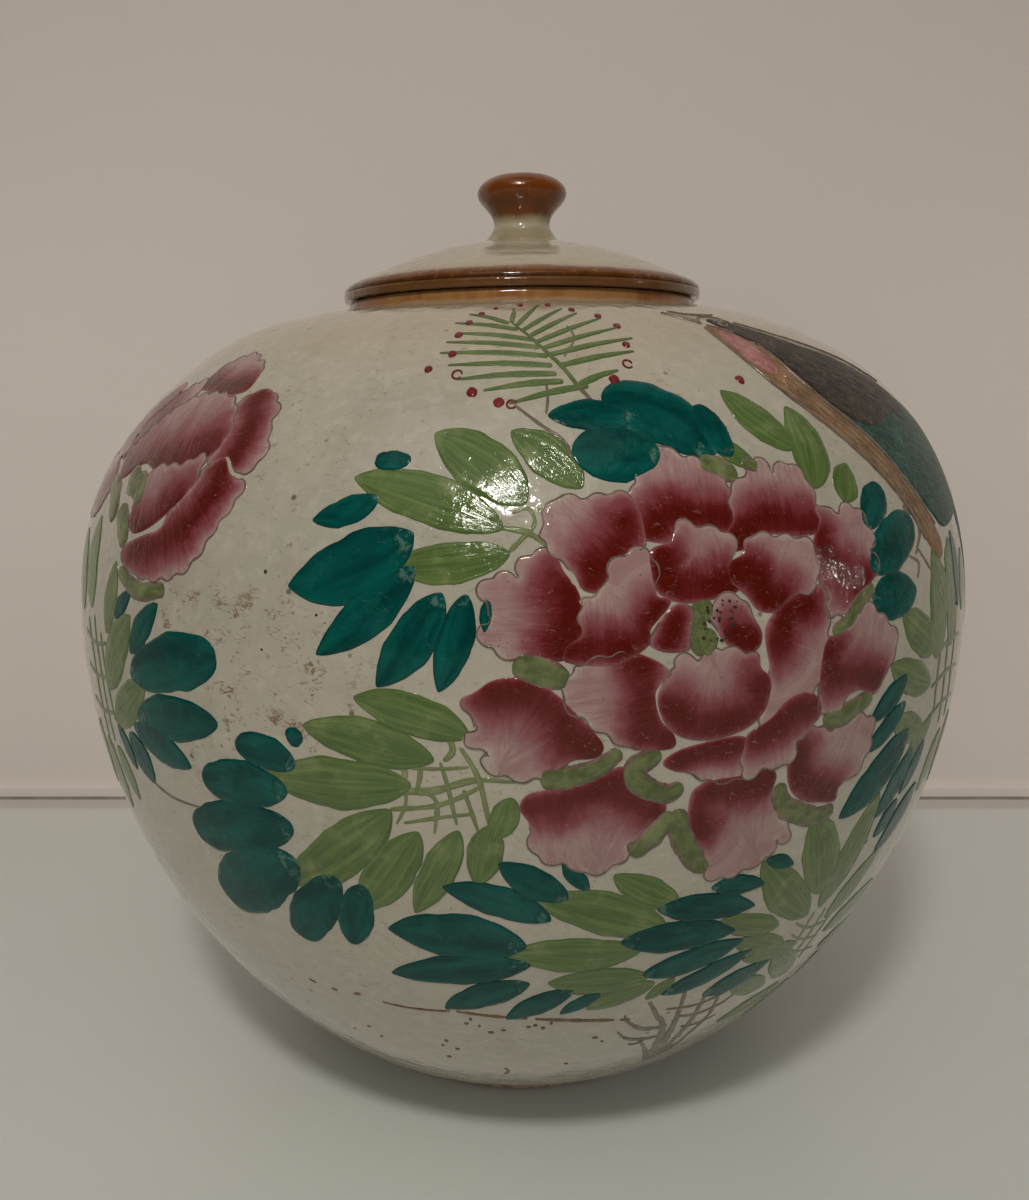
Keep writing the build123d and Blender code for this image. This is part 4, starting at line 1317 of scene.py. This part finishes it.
def petal_enamel(name):
    """White enamel with rouge laid along a line and drawn outwards in fine brush streaks."""
    g = Graph(name)
    along, away, seed = g.split(g.attribute("paint", "Vector"))
    rouge = g.attribute("edge")
    local = g.join(along, away, seed)
    fan = g.noise(g.scaled(local, (0.85, 0.14, 1.0)), 1.0, 4.0, 0.65, 0.25)
    fine = g.noise(g.scaled(local, (2.6, 0.3, 1.0)), 1.0, 3.0, 0.6)
    cloud = g.noise(g.position, 120.0, 4.0, 0.6)
    drawn = g.plus(g.times(g.minus(fan, 0.5), 0.3), rouge)
    drawn = g.plus(drawn, g.times(g.minus(fine, 0.5), 0.22))
    drawn = g.plus(drawn, g.times(g.minus(cloud, 0.5), 0.8))
    streak = g.fade(g.plus(fan, g.times(fine, 0.5)), 0.66, 0.92, 0.0, 0.65)
    base = g.mix(g.fade(drawn, -0.34, -0.06), MARGIN, WHITE_PETAL)
    base = g.mix(streak, base, PINK_PETAL)
    base = g.mix(g.fade(drawn, -0.02, 0.34), base, PINK_PETAL)
    base = g.mix(g.fade(drawn, 0.24, 0.62), base, ROSE)
    base = g.mix(g.fade(drawn, 0.56, 0.86), base, CRIMSON)
    base = g.mix(g.fade(drawn, 0.8, 1.04, 0.0, 0.9), base, CRIMSON_DARK)
    scratch = g.noise(g.scaled(g.position, (1.0, 1.0, 2.0)), 640.0, 5.0, 0.8, 1.0)
    rubbed = g.fade(cloud, 0.4, 0.66, 0.1, 0.6)
    base = g.mix(g.times(g.fade(scratch, 0.58, 0.68), rubbed), base, tone(176, 140, 128))
    speck = g.fade(g.spots(520.0), 0.12, 0.05, 0.0, 0.5)
    base = g.mix(speck, base, tone(70, 30, 30))
    height = g.plus(g.times(fan, 0.5), g.times(cloud, 0.6))
    height = g.plus(height, g.times(g.noise(g.position, 480.0, 2.0), 0.12))
    rough = g.fade(cloud, 0.35, 0.75, 0.04, 0.11)
    relief = g.bump(height, 0.0003)
    return g.surface(Base_Color=base, Roughness=rough, Normal=relief, IOR=1.38, **ENAMEL_COAT)


def bird_enamel(name, main, light, dark, stripe):
    """Enamel brushed along the bird in fine uneven feather streaks."""
    g = Graph(name)
    along, across, seed = g.split(g.attribute("paint", "Vector"))
    edge = g.attribute("edge")
    local = g.join(along, across, seed)
    lines = g.noise(g.scaled(local, (0.35, 1.5, 1.0)), 1.0, 5.0, 0.7, 1.2)
    cloud = g.noise(g.position, 170.0, 4.0, 0.65)
    base = g.mix(g.fade(cloud, 0.34, 0.68), dark, main)
    base = g.mix(g.fade(lines, 0.48, 0.62, 0.0, stripe), base, light)
    base = g.mix(g.fade(lines, 0.46, 0.34, 0.0, stripe), base, dark)
    base = g.mix(g.fade(g.noise(g.position, 620.0, 3.0, 0.6), 0.56, 0.7, 0.0, 0.7), base, light)
    base = g.mix(g.fade(edge, 0.6, 0.1, 0.0, 0.5), base, dark)
    height = g.plus(cloud, g.times(lines, 0.4))
    return g.surface(Base_Color=base, Roughness=0.32, Normal=g.bump(height, 0.00022), IOR=1.2)


# Name, main colour, light, dark, streak sizes along and across, and strength of the rim
ENAMELS = (
    ("teal_enamel", (10, 86, 78), (24, 100, 90), (6, 58, 54), (1.6, 1.2), 0.6),
    ("green_enamel", (104, 124, 68), (134, 146, 96), (74, 96, 50), (1.8, 5.0), 0.55),
    ("stamen_enamel", (62, 60, 44), (92, 90, 66), (36, 34, 26), (0.5, 1.0), 0.2),
    ("stalk_enamel", (132, 142, 98), (158, 160, 128), (104, 114, 72), (0.3, 1.2), 0.35),
    ("calyx_enamel", (112, 120, 78), (136, 142, 100), (80, 88, 52), (0.3, 1.0), 0.3),
    ("outline_enamel", (124, 106, 94), (152, 134, 120), (92, 74, 66), (0.5, 0.6), 0.0),
    ("bark_enamel", (128, 118, 100), (152, 142, 122), (94, 84, 70), (0.25, 1.6), 0.2),
    ("earth_enamel", (118, 86, 56), (150, 118, 84), (80, 56, 36), (0.4, 0.8), 0.0),
    ("berry_enamel", (128, 34, 44), (156, 60, 64), (88, 18, 26), (1.0, 1.0), 0.4),
    ("pinhole_glaze", (48, 38, 30), (70, 56, 44), (30, 22, 18), (1.0, 1.0), 0.0),
)
ENAMEL_EXTRAS = {
    "teal_enamel": {"pale_base": 0.5, "lift": 0.4, "pale": tone(104, 134, 120), "ior": 1.26},
    "green_enamel": {"veins": 0.36, "ior": 1.45},
}
# Name, main colour, light, dark, and strength of the feather stripes
BIRD_ENAMELS = (
    ("back_enamel", (62, 54, 46), (106, 96, 82), (42, 37, 32), 0.5),
    ("tail_enamel", (34, 80, 68), (82, 114, 101), (20, 52, 45), 0.7),
    ("belly_enamel", (148, 116, 82), (168, 140, 106), (112, 82, 56), 0.6),
    ("throat_enamel", (176, 122, 120), (190, 152, 144), (146, 84, 82), 0.5),
)


# The jar and its lid


def fit_piece(piece, node, body, material):
    """Give a turned piece its material, put it on its body and hide the CAD node it stands in for."""
    piece.data.materials.append(material)
    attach(piece, body)
    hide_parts(node)


fit_piece(lower_section(), "jar_lower_section", "jar", body_glaze("cream_body_glaze"))
fit_piece(upper_section(), "jar_upper_section", "jar", bpy.data.materials["cream_body_glaze"])
fit_piece(lid_dome(), "lid_dome", "lid", lid_glaze("cream_lid_glaze"))
fit_piece(lid_flange(), "lid_flange", "lid", biscuit("bare_clay"))
fit_piece(lid_knob(), "lid_knob", "lid", knob_glaze("brown_knob_glaze"))

# The painting

GREEN_LIFT, TEAL_LIFT, PETAL_LIFT, CALYX_LIFT = 0.12, 0.17, 0.16, 0.26
LAYER = 0.05
LEAF_GROWTH, LEAF_STEP, STROKE_STEP = 1.08, 0.0012, 0.001


def leaves(canvas, rows, lift, usual_point):
    """Brush a list of leaves, each a little higher than the one before."""
    for i, (az0, s0, az1, s1, width, bend, *point) in enumerate(rows):
        sharp = point[0] if point else usual_point
        leaf(canvas, (az0, s0), (az1, s1), width * LEAF_GROWTH, bend, sharp, lift + LEAF_STEP * i)


def strokes(canvas, rows, lift, **shape):
    """Brush a list of strokes, each a little higher than the one before."""
    for i, (path, widths) in enumerate(rows):
        stroke(canvas, path, widths, lift=lift + STROKE_STEP * i, **shape)


def dots(canvas, rows, lift):
    """Touch in a list of dots, as (azimuth, s, radius)."""
    for azimuth, s, radius in rows:
        dot(canvas, (azimuth, s), radius, lift)


SCALLOP_PITCH, SCALLOP_RISE = 5.0, 1.0
GROWTH = 0.42


def petal_loop(places, rouge_path):
    """A petal's outline, scalloped where it is far from its crimson root."""
    loop = resample(chart(places), 0.42, closed=True)
    loop = loop if signed_area(loop) > 0 else loop[::-1]
    away = to_line(loop, rouge_path)[0]
    arc = np.arange(len(loop)) * 0.42
    rise = np.abs(np.sin(np.pi * arc / SCALLOP_PITCH)) * SCALLOP_RISE * smooth(away, 3.0, 6.0)
    return loop - normals_of(loop, True) * (GROWTH + rise)[:, None]


def petal(canvas, lines, places, rouge_places, reach, lift):
    """One petal of rouge over white, and the fine outline round its pale edge."""
    rouge_path = resample(chart(rouge_places), 0.8)
    loop = petal_loop(places, rouge_path)

    def describe(points):
        away, along = to_line(points, rouge_path)
        edge = to_line(points, np.concatenate([loop, loop[:1]]))[0]
        rouge = np.clip(1.1 - away / (0.92 * reach), 0, 1) * smooth(edge, -0.5, 0.55)
        rouge -= 0.3 * (1 - smooth(edge, 0.3, 1.8)) * (1 - rouge)
        return np.stack([along, away], -1), rouge

    area(canvas, loop, lift, describe)
    away = to_line(loop, rouge_path)[0]
    pale = away > 0.42 * reach
    outline_run(lines, loop, pale, lift + 0.03)


OUTLINE_WIDTHS, OUTLINE_INSET, SHORTEST_RUN = (0.2, 0.42, 0.3, 0.46, 0.3, 0.42, 0.2), 0.28, 6


def outline_run(lines, loop, wanted, lift):
    """Draw the wanted stretches of a loop as fine broken brush lines."""
    count = len(loop)
    inward = loop + normals_of(loop, True) * OUTLINE_INSET
    starts = [i for i in range(count) if wanted[i] and not wanted[i - 1]]
    for start in starts:
        length = 0
        while wanted[(start + length) % count] and length < count:
            length += 1
        if length < SHORTEST_RUN:
            continue
        points = [inward[(start + k) % count] for k in range(length)]
        places = [(x / CHART, s) for x, s in points[::2]]
        stroke(lines, places, OUTLINE_WIDTHS, lift=lift, step=0.55, rough=0.25)


def peony(tag, where, petals):
    """A flower as two pieces: its petals and its outlines."""
    canvas = Enamel(f"peony_{tag}_petals", **where)
    lines = Enamel(f"peony_{tag}_outlines", **where)
    for i, (places, rouge_places, reach, layer) in enumerate(petals):
        petal(canvas, lines, places, rouge_places, reach, PETAL_LIFT + LAYER * layer + 0.003 * i)
    return canvas, lines


def calyx(canvas, lines, rows):
    """Rounded green strokes, each with a dark edge showing round it."""
    for i, (path, widths) in enumerate(rows):
        wide = [w + 0.9 for w in widths]
        stroke(lines, path, wide, lift=CALYX_LIFT - 0.04 + 0.001 * i, step=0.6)
        stroke(canvas, path, widths, lift=CALYX_LIFT + 0.03 + 0.001 * i, step=0.6, rough=0.12)


HEART = ((15.9, 16.8, 2.3, 0.04), (16.0, 11.2, 2.9, 0.05), (15.3, 14.0, 2.0, 0.03))
GRAINS, GRAIN_AZIMUTHS, GRAIN_HEIGHTS = 34, (15.8, 19.6), (10.6, 18.4)


def stamens(canvas, ink):
    """The green heart of the flower with its dark grains."""
    for azimuth, s, radius, lift in HEART:
        dot(canvas, (azimuth, s), radius, CALYX_LIFT + lift)
    for _ in range(GRAINS):
        azimuth, s = seeds.uniform(*GRAIN_AZIMUTHS), seeds.uniform(*GRAIN_HEIGHTS)
        dot(ink, (azimuth, s), seeds.uniform(0.16, 0.38), CALYX_LIFT + 0.12, seeds.uniform(0.8, 1.5))


def canvases(tag, where, *names):
    """An empty canvas for each of the names, with the tag after it."""
    return [Enamel(f"{name}_{tag}", **where) for name in names]


def spray(tag, **where):
    """The big spray: leaves, stalks, peony, calyx, ground and roots."""
    green, stalks, teal = canvases(tag, where, "green_leaves", "stalks", "teal_leaves")
    sepals, ink, bare, ground = canvases(tag, where, "calyx", "stamens", "roots", "ground")
    strokes(stalks, STALKS_FRONT, GREEN_LIFT - 0.03, rough=0.2)
    finish((stalks, "stalk"))
    leaves(green, GREEN_FRONT, GREEN_LIFT, 0.75)
    leaves(teal, TEAL_FRONT, TEAL_LIFT, 0.85)
    dot(teal, (-21.6, -7.4), 2.1, TEAL_LIFT)
    petals, lines = peony(tag, where, PEONY_FRONT)
    calyx(sepals, lines, SEPALS_FRONT)
    stamens(sepals, ink)
    finish((ink, "stamen"))
    strokes(bare, ROOTS, 0.12, rough=0.25)
    strokes(ground, GROUND, 0.14, rough=0.45)
    earth_specks(ground)
    finish((green, "green"), (teal, "teal"), (petals, "rose"), (lines, "outline"))
    finish((sepals, "calyx"), (bare, "bark"), (ground, "earth"))


def earth_specks(canvas):
    """Small brown specks under the ground line."""
    for azimuth, s in SPECKS:
        dot(canvas, (azimuth, s), seeds.uniform(0.35, 0.75), 0.12, seeds.uniform(0.6, 1.6))
    stroke(canvas, ((-3.0, -101.6), (-2.4, -104.6), (-3.2, -107.6)), (0.5, 1.5, 0.7), lift=0.12, rough=0.4)


def finish(*canvases):
    """Lay each canvas on the jar in the enamel of the given name."""
    for canvas, enamel_name in canvases:
        canvas.build(bpy.data.materials[enamel_name + "_enamel"], "body_glaze")


def side_sprays(tag, **where):
    """The flower and leaves at the sides of the view."""
    green, teal, sepals = canvases(tag, where, "green_leaves", "teal_leaves", "calyx")
    strokes(green, STALKS_SIDES, GREEN_LIFT - 0.03)
    leaves(green, GREEN_SIDES, GREEN_LIFT, 0.75)
    leaves(teal, TEAL_SIDES, TEAL_LIFT, 0.75)
    petals, lines = peony(tag, where, PEONY_SIDE)
    calyx(sepals, lines, SEPALS_SIDE)
    finish((green, "green"), (teal, "teal"), (petals, "rose"), (lines, "outline"), (sepals, "calyx"))


def fern(tag, **where):
    """The fern with its berries at the shoulder."""
    green, twigs, red = canvases(tag, where, "fern", "twigs", "berries")
    for i, (az0, s0, az1, s1) in enumerate(FERN):
        middle = ((az0 + az1) / 2 + 0.2, (s0 + s1) / 2 + 0.6)
        stroke(green, ((az1, s1), middle, (az0, s0)), (1.5, 2.0, 1.5, 0.5), lift=0.16 + 0.001 * i)
    stroke(green, FERN_STEM, (1.1, 1.2, 0.9, 0.5), lift=0.19)
    strokes(twigs, TWIGS, 0.15, rough=0.2)
    strokes(twigs, TENDRILS, 0.13, rough=0.2)
    dots(red, BERRIES, 0.25)
    for azimuth, s, radius in BERRY_RINGS:
        turns = np.linspace(0, 5.9, 9)
        ring = [(azimuth + radius / CHART * math.cos(a), s + radius * math.sin(a)) for a in turns]
        stroke(red, ring, (0.45, 0.5, 0.45), lift=0.2, step=0.35)
    finish((green, "green"), (twigs, "bark"), (red, "berry"))


def axes_of(start, end):
    """Unit vectors along a line on the chart and to its left."""
    along = (end - start) / np.linalg.norm(end - start)
    return along, np.array([-along[1], along[0]])


def bird_area(canvas, places, lift, axis):
    """One area of the bird. Its paint coordinates run along and across the axis."""
    loop = resample(chart(places), 0.7, closed=True)
    a, b = chart(axis)
    along, left = axes_of(a, b)
    closed = np.concatenate([loop, loop[:1]])

    def describe(points):
        return np.stack([(points - a) @ along, (points - a) @ left], -1), to_line(points, closed)[0]

    area(canvas, loop, lift, describe)


def feathers(canvas, axis, rows, across, lift):
    """Fine uneven feather strokes along an axis."""
    a, b = chart(axis)
    along, left = axes_of(a, b)
    for k in range(rows):
        for offset in np.linspace(-across / 2, across / 2, 5):
            share = (k + 0.5 + seeds.uniform(-0.4, 0.4)) / rows
            base = a + (b - a) * share + left * (offset + seeds.uniform(-1.2, 1.2)) * (1 - 0.35 * share)
            tip = base + along * seeds.uniform(4.0, 7.5) + left * seeds.uniform(-0.8, 0.8)
            path = [(p[0] / CHART, p[1]) for p in (base, (base + tip) / 2 + left * 0.4, tip)]
            stroke(canvas, path, (0.15, 0.3, 0.35, 0.15), lift=lift + 0.001 * k, rough=0.4)


def bird(tag, **where):
    """The long-tailed bird on the right of the shoulder."""
    tail, back, belly = canvases(tag, where, "bird_tail", "bird_back", "bird_belly")
    throat, lines = canvases(tag, where, "bird_throat", "bird_lines")
    for i, path in enumerate(BIRD_PLUMES):
        stroke(tail, path, (1.6, 5.0, 5.4, 3.8, 0.8), lift=0.11 + 0.012 * i, rough=0.06)
    bird_area(tail, BIRD_TAIL, 0.17, ((44.0, 50.0), (66.0, 30.0)))
    bird_area(back, BIRD_BACK, 0.19, ((34.0, 86.0), (60.0, 54.0)))
    feathers(back, ((38.0, 78.0), (56.0, 58.0)), 6, 13.0, 0.21)
    bird_area(belly, BIRD_BELLY, 0.22, ((32.0, 82.0), (50.0, 24.0)))
    bird_area(throat, BIRD_THROAT, 0.26, ((32.0, 80.0), (33.6, 66.0)))
    strokes(lines, BIRD_STROKES, 0.31, rough=0.25)
    dot(lines, BIRD_EYE, 0.9, 0.33)
    finish((tail, "tail"), (back, "back"), (belly, "belly"), (throat, "throat"), (lines, "outline"))


def pinholes():
    """The few large dark pits in the cream glaze."""
    canvas = Enamel("pinholes")
    dots(canvas, PINHOLES, 0.05)
    canvas.build(bpy.data.materials["pinhole_glaze"], "body_glaze")


for name, main, light, dark, streak, rim in ENAMELS:
    enamel(name, tone(*main), tone(*light), tone(*dark), streak, rim, **ENAMEL_EXTRAS.get(name, {}))
petal_enamel("rose_enamel")
for name, main, light, dark, stripe in BIRD_ENAMELS:
    bird_enamel(name, tone(*main), tone(*light), tone(*dark), stripe)

spray("front")
side_sprays("sides")
fern("front")
bird("front")
pinholes()
BACK = {"turn": 186.0, "mirror": True, "scale": 0.97, "rise": 1.0}
spray("back", **BACK)
fern("back", **{**BACK, "turn": 172.0, "rise": -2.0})
SIDE_BACK = {"turn": 166.0, "mirror": False, "scale": 0.94, "rise": 2.0}
side_sprays("rear", **SIDE_BACK)

# The table, the wall behind it, the light and the camera

REACH = 3.0
TABLE_BACK = 0.147
SKIRTING_Y, WALL_Y = TABLE_BACK + 0.0042, TABLE_BACK + 0.0076
# Where the table is painted darker towards the wall, as painted shade, in metres
TABLE_PAINTED_SHADE = (TABLE_BACK - 0.013, TABLE_BACK - 0.008)

# Name, place, aim, size, watts and colour
LIGHTS = (
    ("ceiling_lamp", (-0.064, -0.5, 0.635), (0, -0.05, 0.15), (0.082, 0.06), 1.7, (1.0, 0.95, 0.88)),
    ("soft_top", (-0.2, -0.9, 1.7), (0, -0.3, 0.0), (1.5, 1.2), 2.9, (1.0, 0.94, 0.86)),
    ("front_fill", (-0.35, -2.2, 0.3), (0, 0, 0.1), (2.4, 1.2), 7.3, (1.0, 0.98, 0.96)),
    ("right_window", (0.93, -0.262, 0.272), (0.06, -0.09, 0.143), (0.01, 0.013), 0.2, (1.0, 0.96, 0.92)),
)
ROOM_COLOUR, ROOM_STRENGTH = (1.0, 0.97, 0.94, 1.0), 0.162

# The camera, with its focal length and the photo's height in pixels
CAMERA_PLACE = (-0.00195, -0.2866, 0.1768)
CAMERA_PITCH = 11.217
SENSOR, FOCAL, PHOTO_HEIGHT = 36.0, 1030.0, 1200.0


def panel(name, start, end, cuts):
    """A wide flat panel of the studio between two (y, z) lines, cut into a grid."""
    places = ((-REACH, *start), (REACH, *start), (REACH, *end), (-REACH, *end))
    a, b, c, d = (np.array(p, float) for p in places)
    steps = np.linspace(0, 1, cuts + 1)
    near, far = [[p * (1 - u) + q * u for u in steps] for p, q in ((a, b), (d, c))]
    points = np.array([p * (1 - v) + q * v for v in steps for p, q in zip(near, far)])
    return mesh_object(name, points, grid_faces(cuts + 1, cuts + 1))


def table_look():
    """A pale lacquered table with a faint sheen and dust, and painted shade along its back edge by the wall.
    """
    g = Graph("pale_table")
    cloud = g.noise(g.position, 4.0, 3.0, 0.5)
    base = g.mix(g.fade(cloud, 0.3, 0.7), tone(227, 229, 224), tone(223, 225, 219))
    fine = g.noise(g.position, 700.0, 3.0, 0.6)
    base = g.mix(g.fade(fine, 0.5, 0.8, 0.0, 0.1), base, tone(200, 198, 191))
    depth = g.split(g.position)[1]
    # painted shade: the back of the table darkens towards the wall
    base = g.mix(g.fade(depth, *TABLE_PAINTED_SHADE, 0.0, 0.6), base, tone(190, 182, 176))
    rough = g.fade(g.noise(g.position, 40.0, 3.0, 0.6), 0.3, 0.7, 0.28, 0.36)
    return g.surface(Base_Color=base, Roughness=rough, Normal=g.bump(fine, 0.00002))


def wall_look():
    """A plain warm wall, painted darker towards the top as painted shade, and clear from behind, so that the
    jar can be seen round the back.
    """
    g = Graph("warm_wall")
    cloud = g.noise(g.position, 3.0, 3.0, 0.5)
    base = g.mix(g.fade(cloud, 0.3, 0.7), tone(236, 226, 218), tone(232, 222, 214))
    # painted shade: the wall's colour darkens towards the top
    high = g.fade(g.split(g.position)[2], 0.12, 0.46)
    base = g.mix(high, base, tone(195, 186, 179))
    fine = g.noise(g.position, 500.0, 3.0, 0.6)
    shader = g.node("ShaderNodeBsdfPrincipled")
    g.put(shader.inputs["Base Color"], base)
    g.put(shader.inputs["Normal"], g.bump(fine, 0.00004))
    shader.inputs["Roughness"].default_value = 0.75
    clear = g.node("ShaderNodeBsdfTransparent")
    behind = g.node("ShaderNodeNewGeometry").outputs["Backfacing"]
    choose = g.node("ShaderNodeMixShader")
    g.links.new(behind, choose.inputs[0])
    g.links.new(shader.outputs[0], choose.inputs[1])
    g.links.new(clear.outputs[0], choose.inputs[2])
    output = g.node("ShaderNodeOutputMaterial")
    g.links.new(choose.outputs[0], output.inputs[0])
    return g.material


def gap_shadow_look():
    """The shadow gap between the table and the wall: a dark strip with mottled painted shadow."""
    g = Graph("painted_gap_shadow")
    # painted shadow: the strip's dark tones, mottled by noise
    gap_shadow_mottle = g.fade(g.noise(g.position, 60.0, 4.0, 0.6), 0.35, 0.7)
    base = g.mix(gap_shadow_mottle, tone(158, 148, 140), tone(132, 123, 115))
    return g.surface(Base_Color=base, Roughness=0.8, Normal=g.bump(gap_shadow_mottle, 0.0001))


def skirting():
    """The low rounded strip along the foot of the wall."""
    edge = [(0.0, -0.03), (0.0, 0.0034), (0.0004, 0.0043), (0.0012, 0.0048), (0.004, 0.0048)]
    points = np.array([(x, SKIRTING_Y + y, z) for y, z in edge for x in (-REACH, REACH)])
    return mesh_object("skirting", points, grid_faces(len(edge), 2))


def studio():
    """The table, the wall, its skirting and a dark strip of painted shadow in the gap between them."""
    table = panel("table", (-REACH, 0), (TABLE_BACK, 0), 8)
    table.data.materials.append(table_look())
    wall = panel("wall", (WALL_Y, -0.4), (WALL_Y, REACH), 8)
    wall.data.materials.append(wall_look())
    # a dark strip under the gap, painted as its shadow
    gap_shadow_strip = panel("gap_shadow_strip", (TABLE_BACK, -0.0004), (TABLE_BACK + 0.005, -0.0002), 4)
    gap_shadow_strip.data.materials.append(gap_shadow_look())
    strip = skirting()
    strip.data.materials.append(wall.data.materials[0])


def area_light(name, place_at, aim, size, power, colour):
    """A soft rectangular light that faces aim."""
    data = bpy.data.lights.new(name, "AREA")
    data.shape = "RECTANGLE"
    data.size, data.size_y = size
    data.energy = power
    data.color = colour
    made = bpy.data.objects.new(name, data)
    made.location = place_at
    made.rotation_euler = (Vector(aim) - Vector(place_at)).to_track_quat("-Z", "Y").to_euler()
    bpy.context.scene.collection.objects.link(made)


def lighting():
    """A ceiling lamp that makes the sparkle on the shoulder, a soft fill and a dim room."""
    for row in LIGHTS:
        area_light(*row)
    bpy.data.objects["front_fill"].visible_glossy = False
    world = bpy.data.worlds.new("room")
    bpy.context.scene.world = world
    world.use_nodes = True
    background = world.node_tree.nodes["Background"]
    background.inputs["Color"].default_value = ROOM_COLOUR
    background.inputs["Strength"].default_value = ROOM_STRENGTH
    world.cycles_visibility.glossy = False


def camera():
    """The photo's camera, a little above the lid and close in front."""
    data = bpy.data.cameras.new("photo_camera")
    data.sensor_width = SENSOR
    data.lens = SENSOR * FOCAL / PHOTO_HEIGHT
    data.clip_start = 0.01
    made = bpy.data.objects.new("photo_camera", data)
    made.location = CAMERA_PLACE
    made.rotation_euler = (math.radians(90.0 - CAMERA_PITCH), 0.0, 0.0)
    bpy.context.scene.collection.objects.link(made)
    bpy.context.scene.camera = made
    bpy.context.scene.view_settings.view_transform = "Standard"


studio()
lighting()
camera()
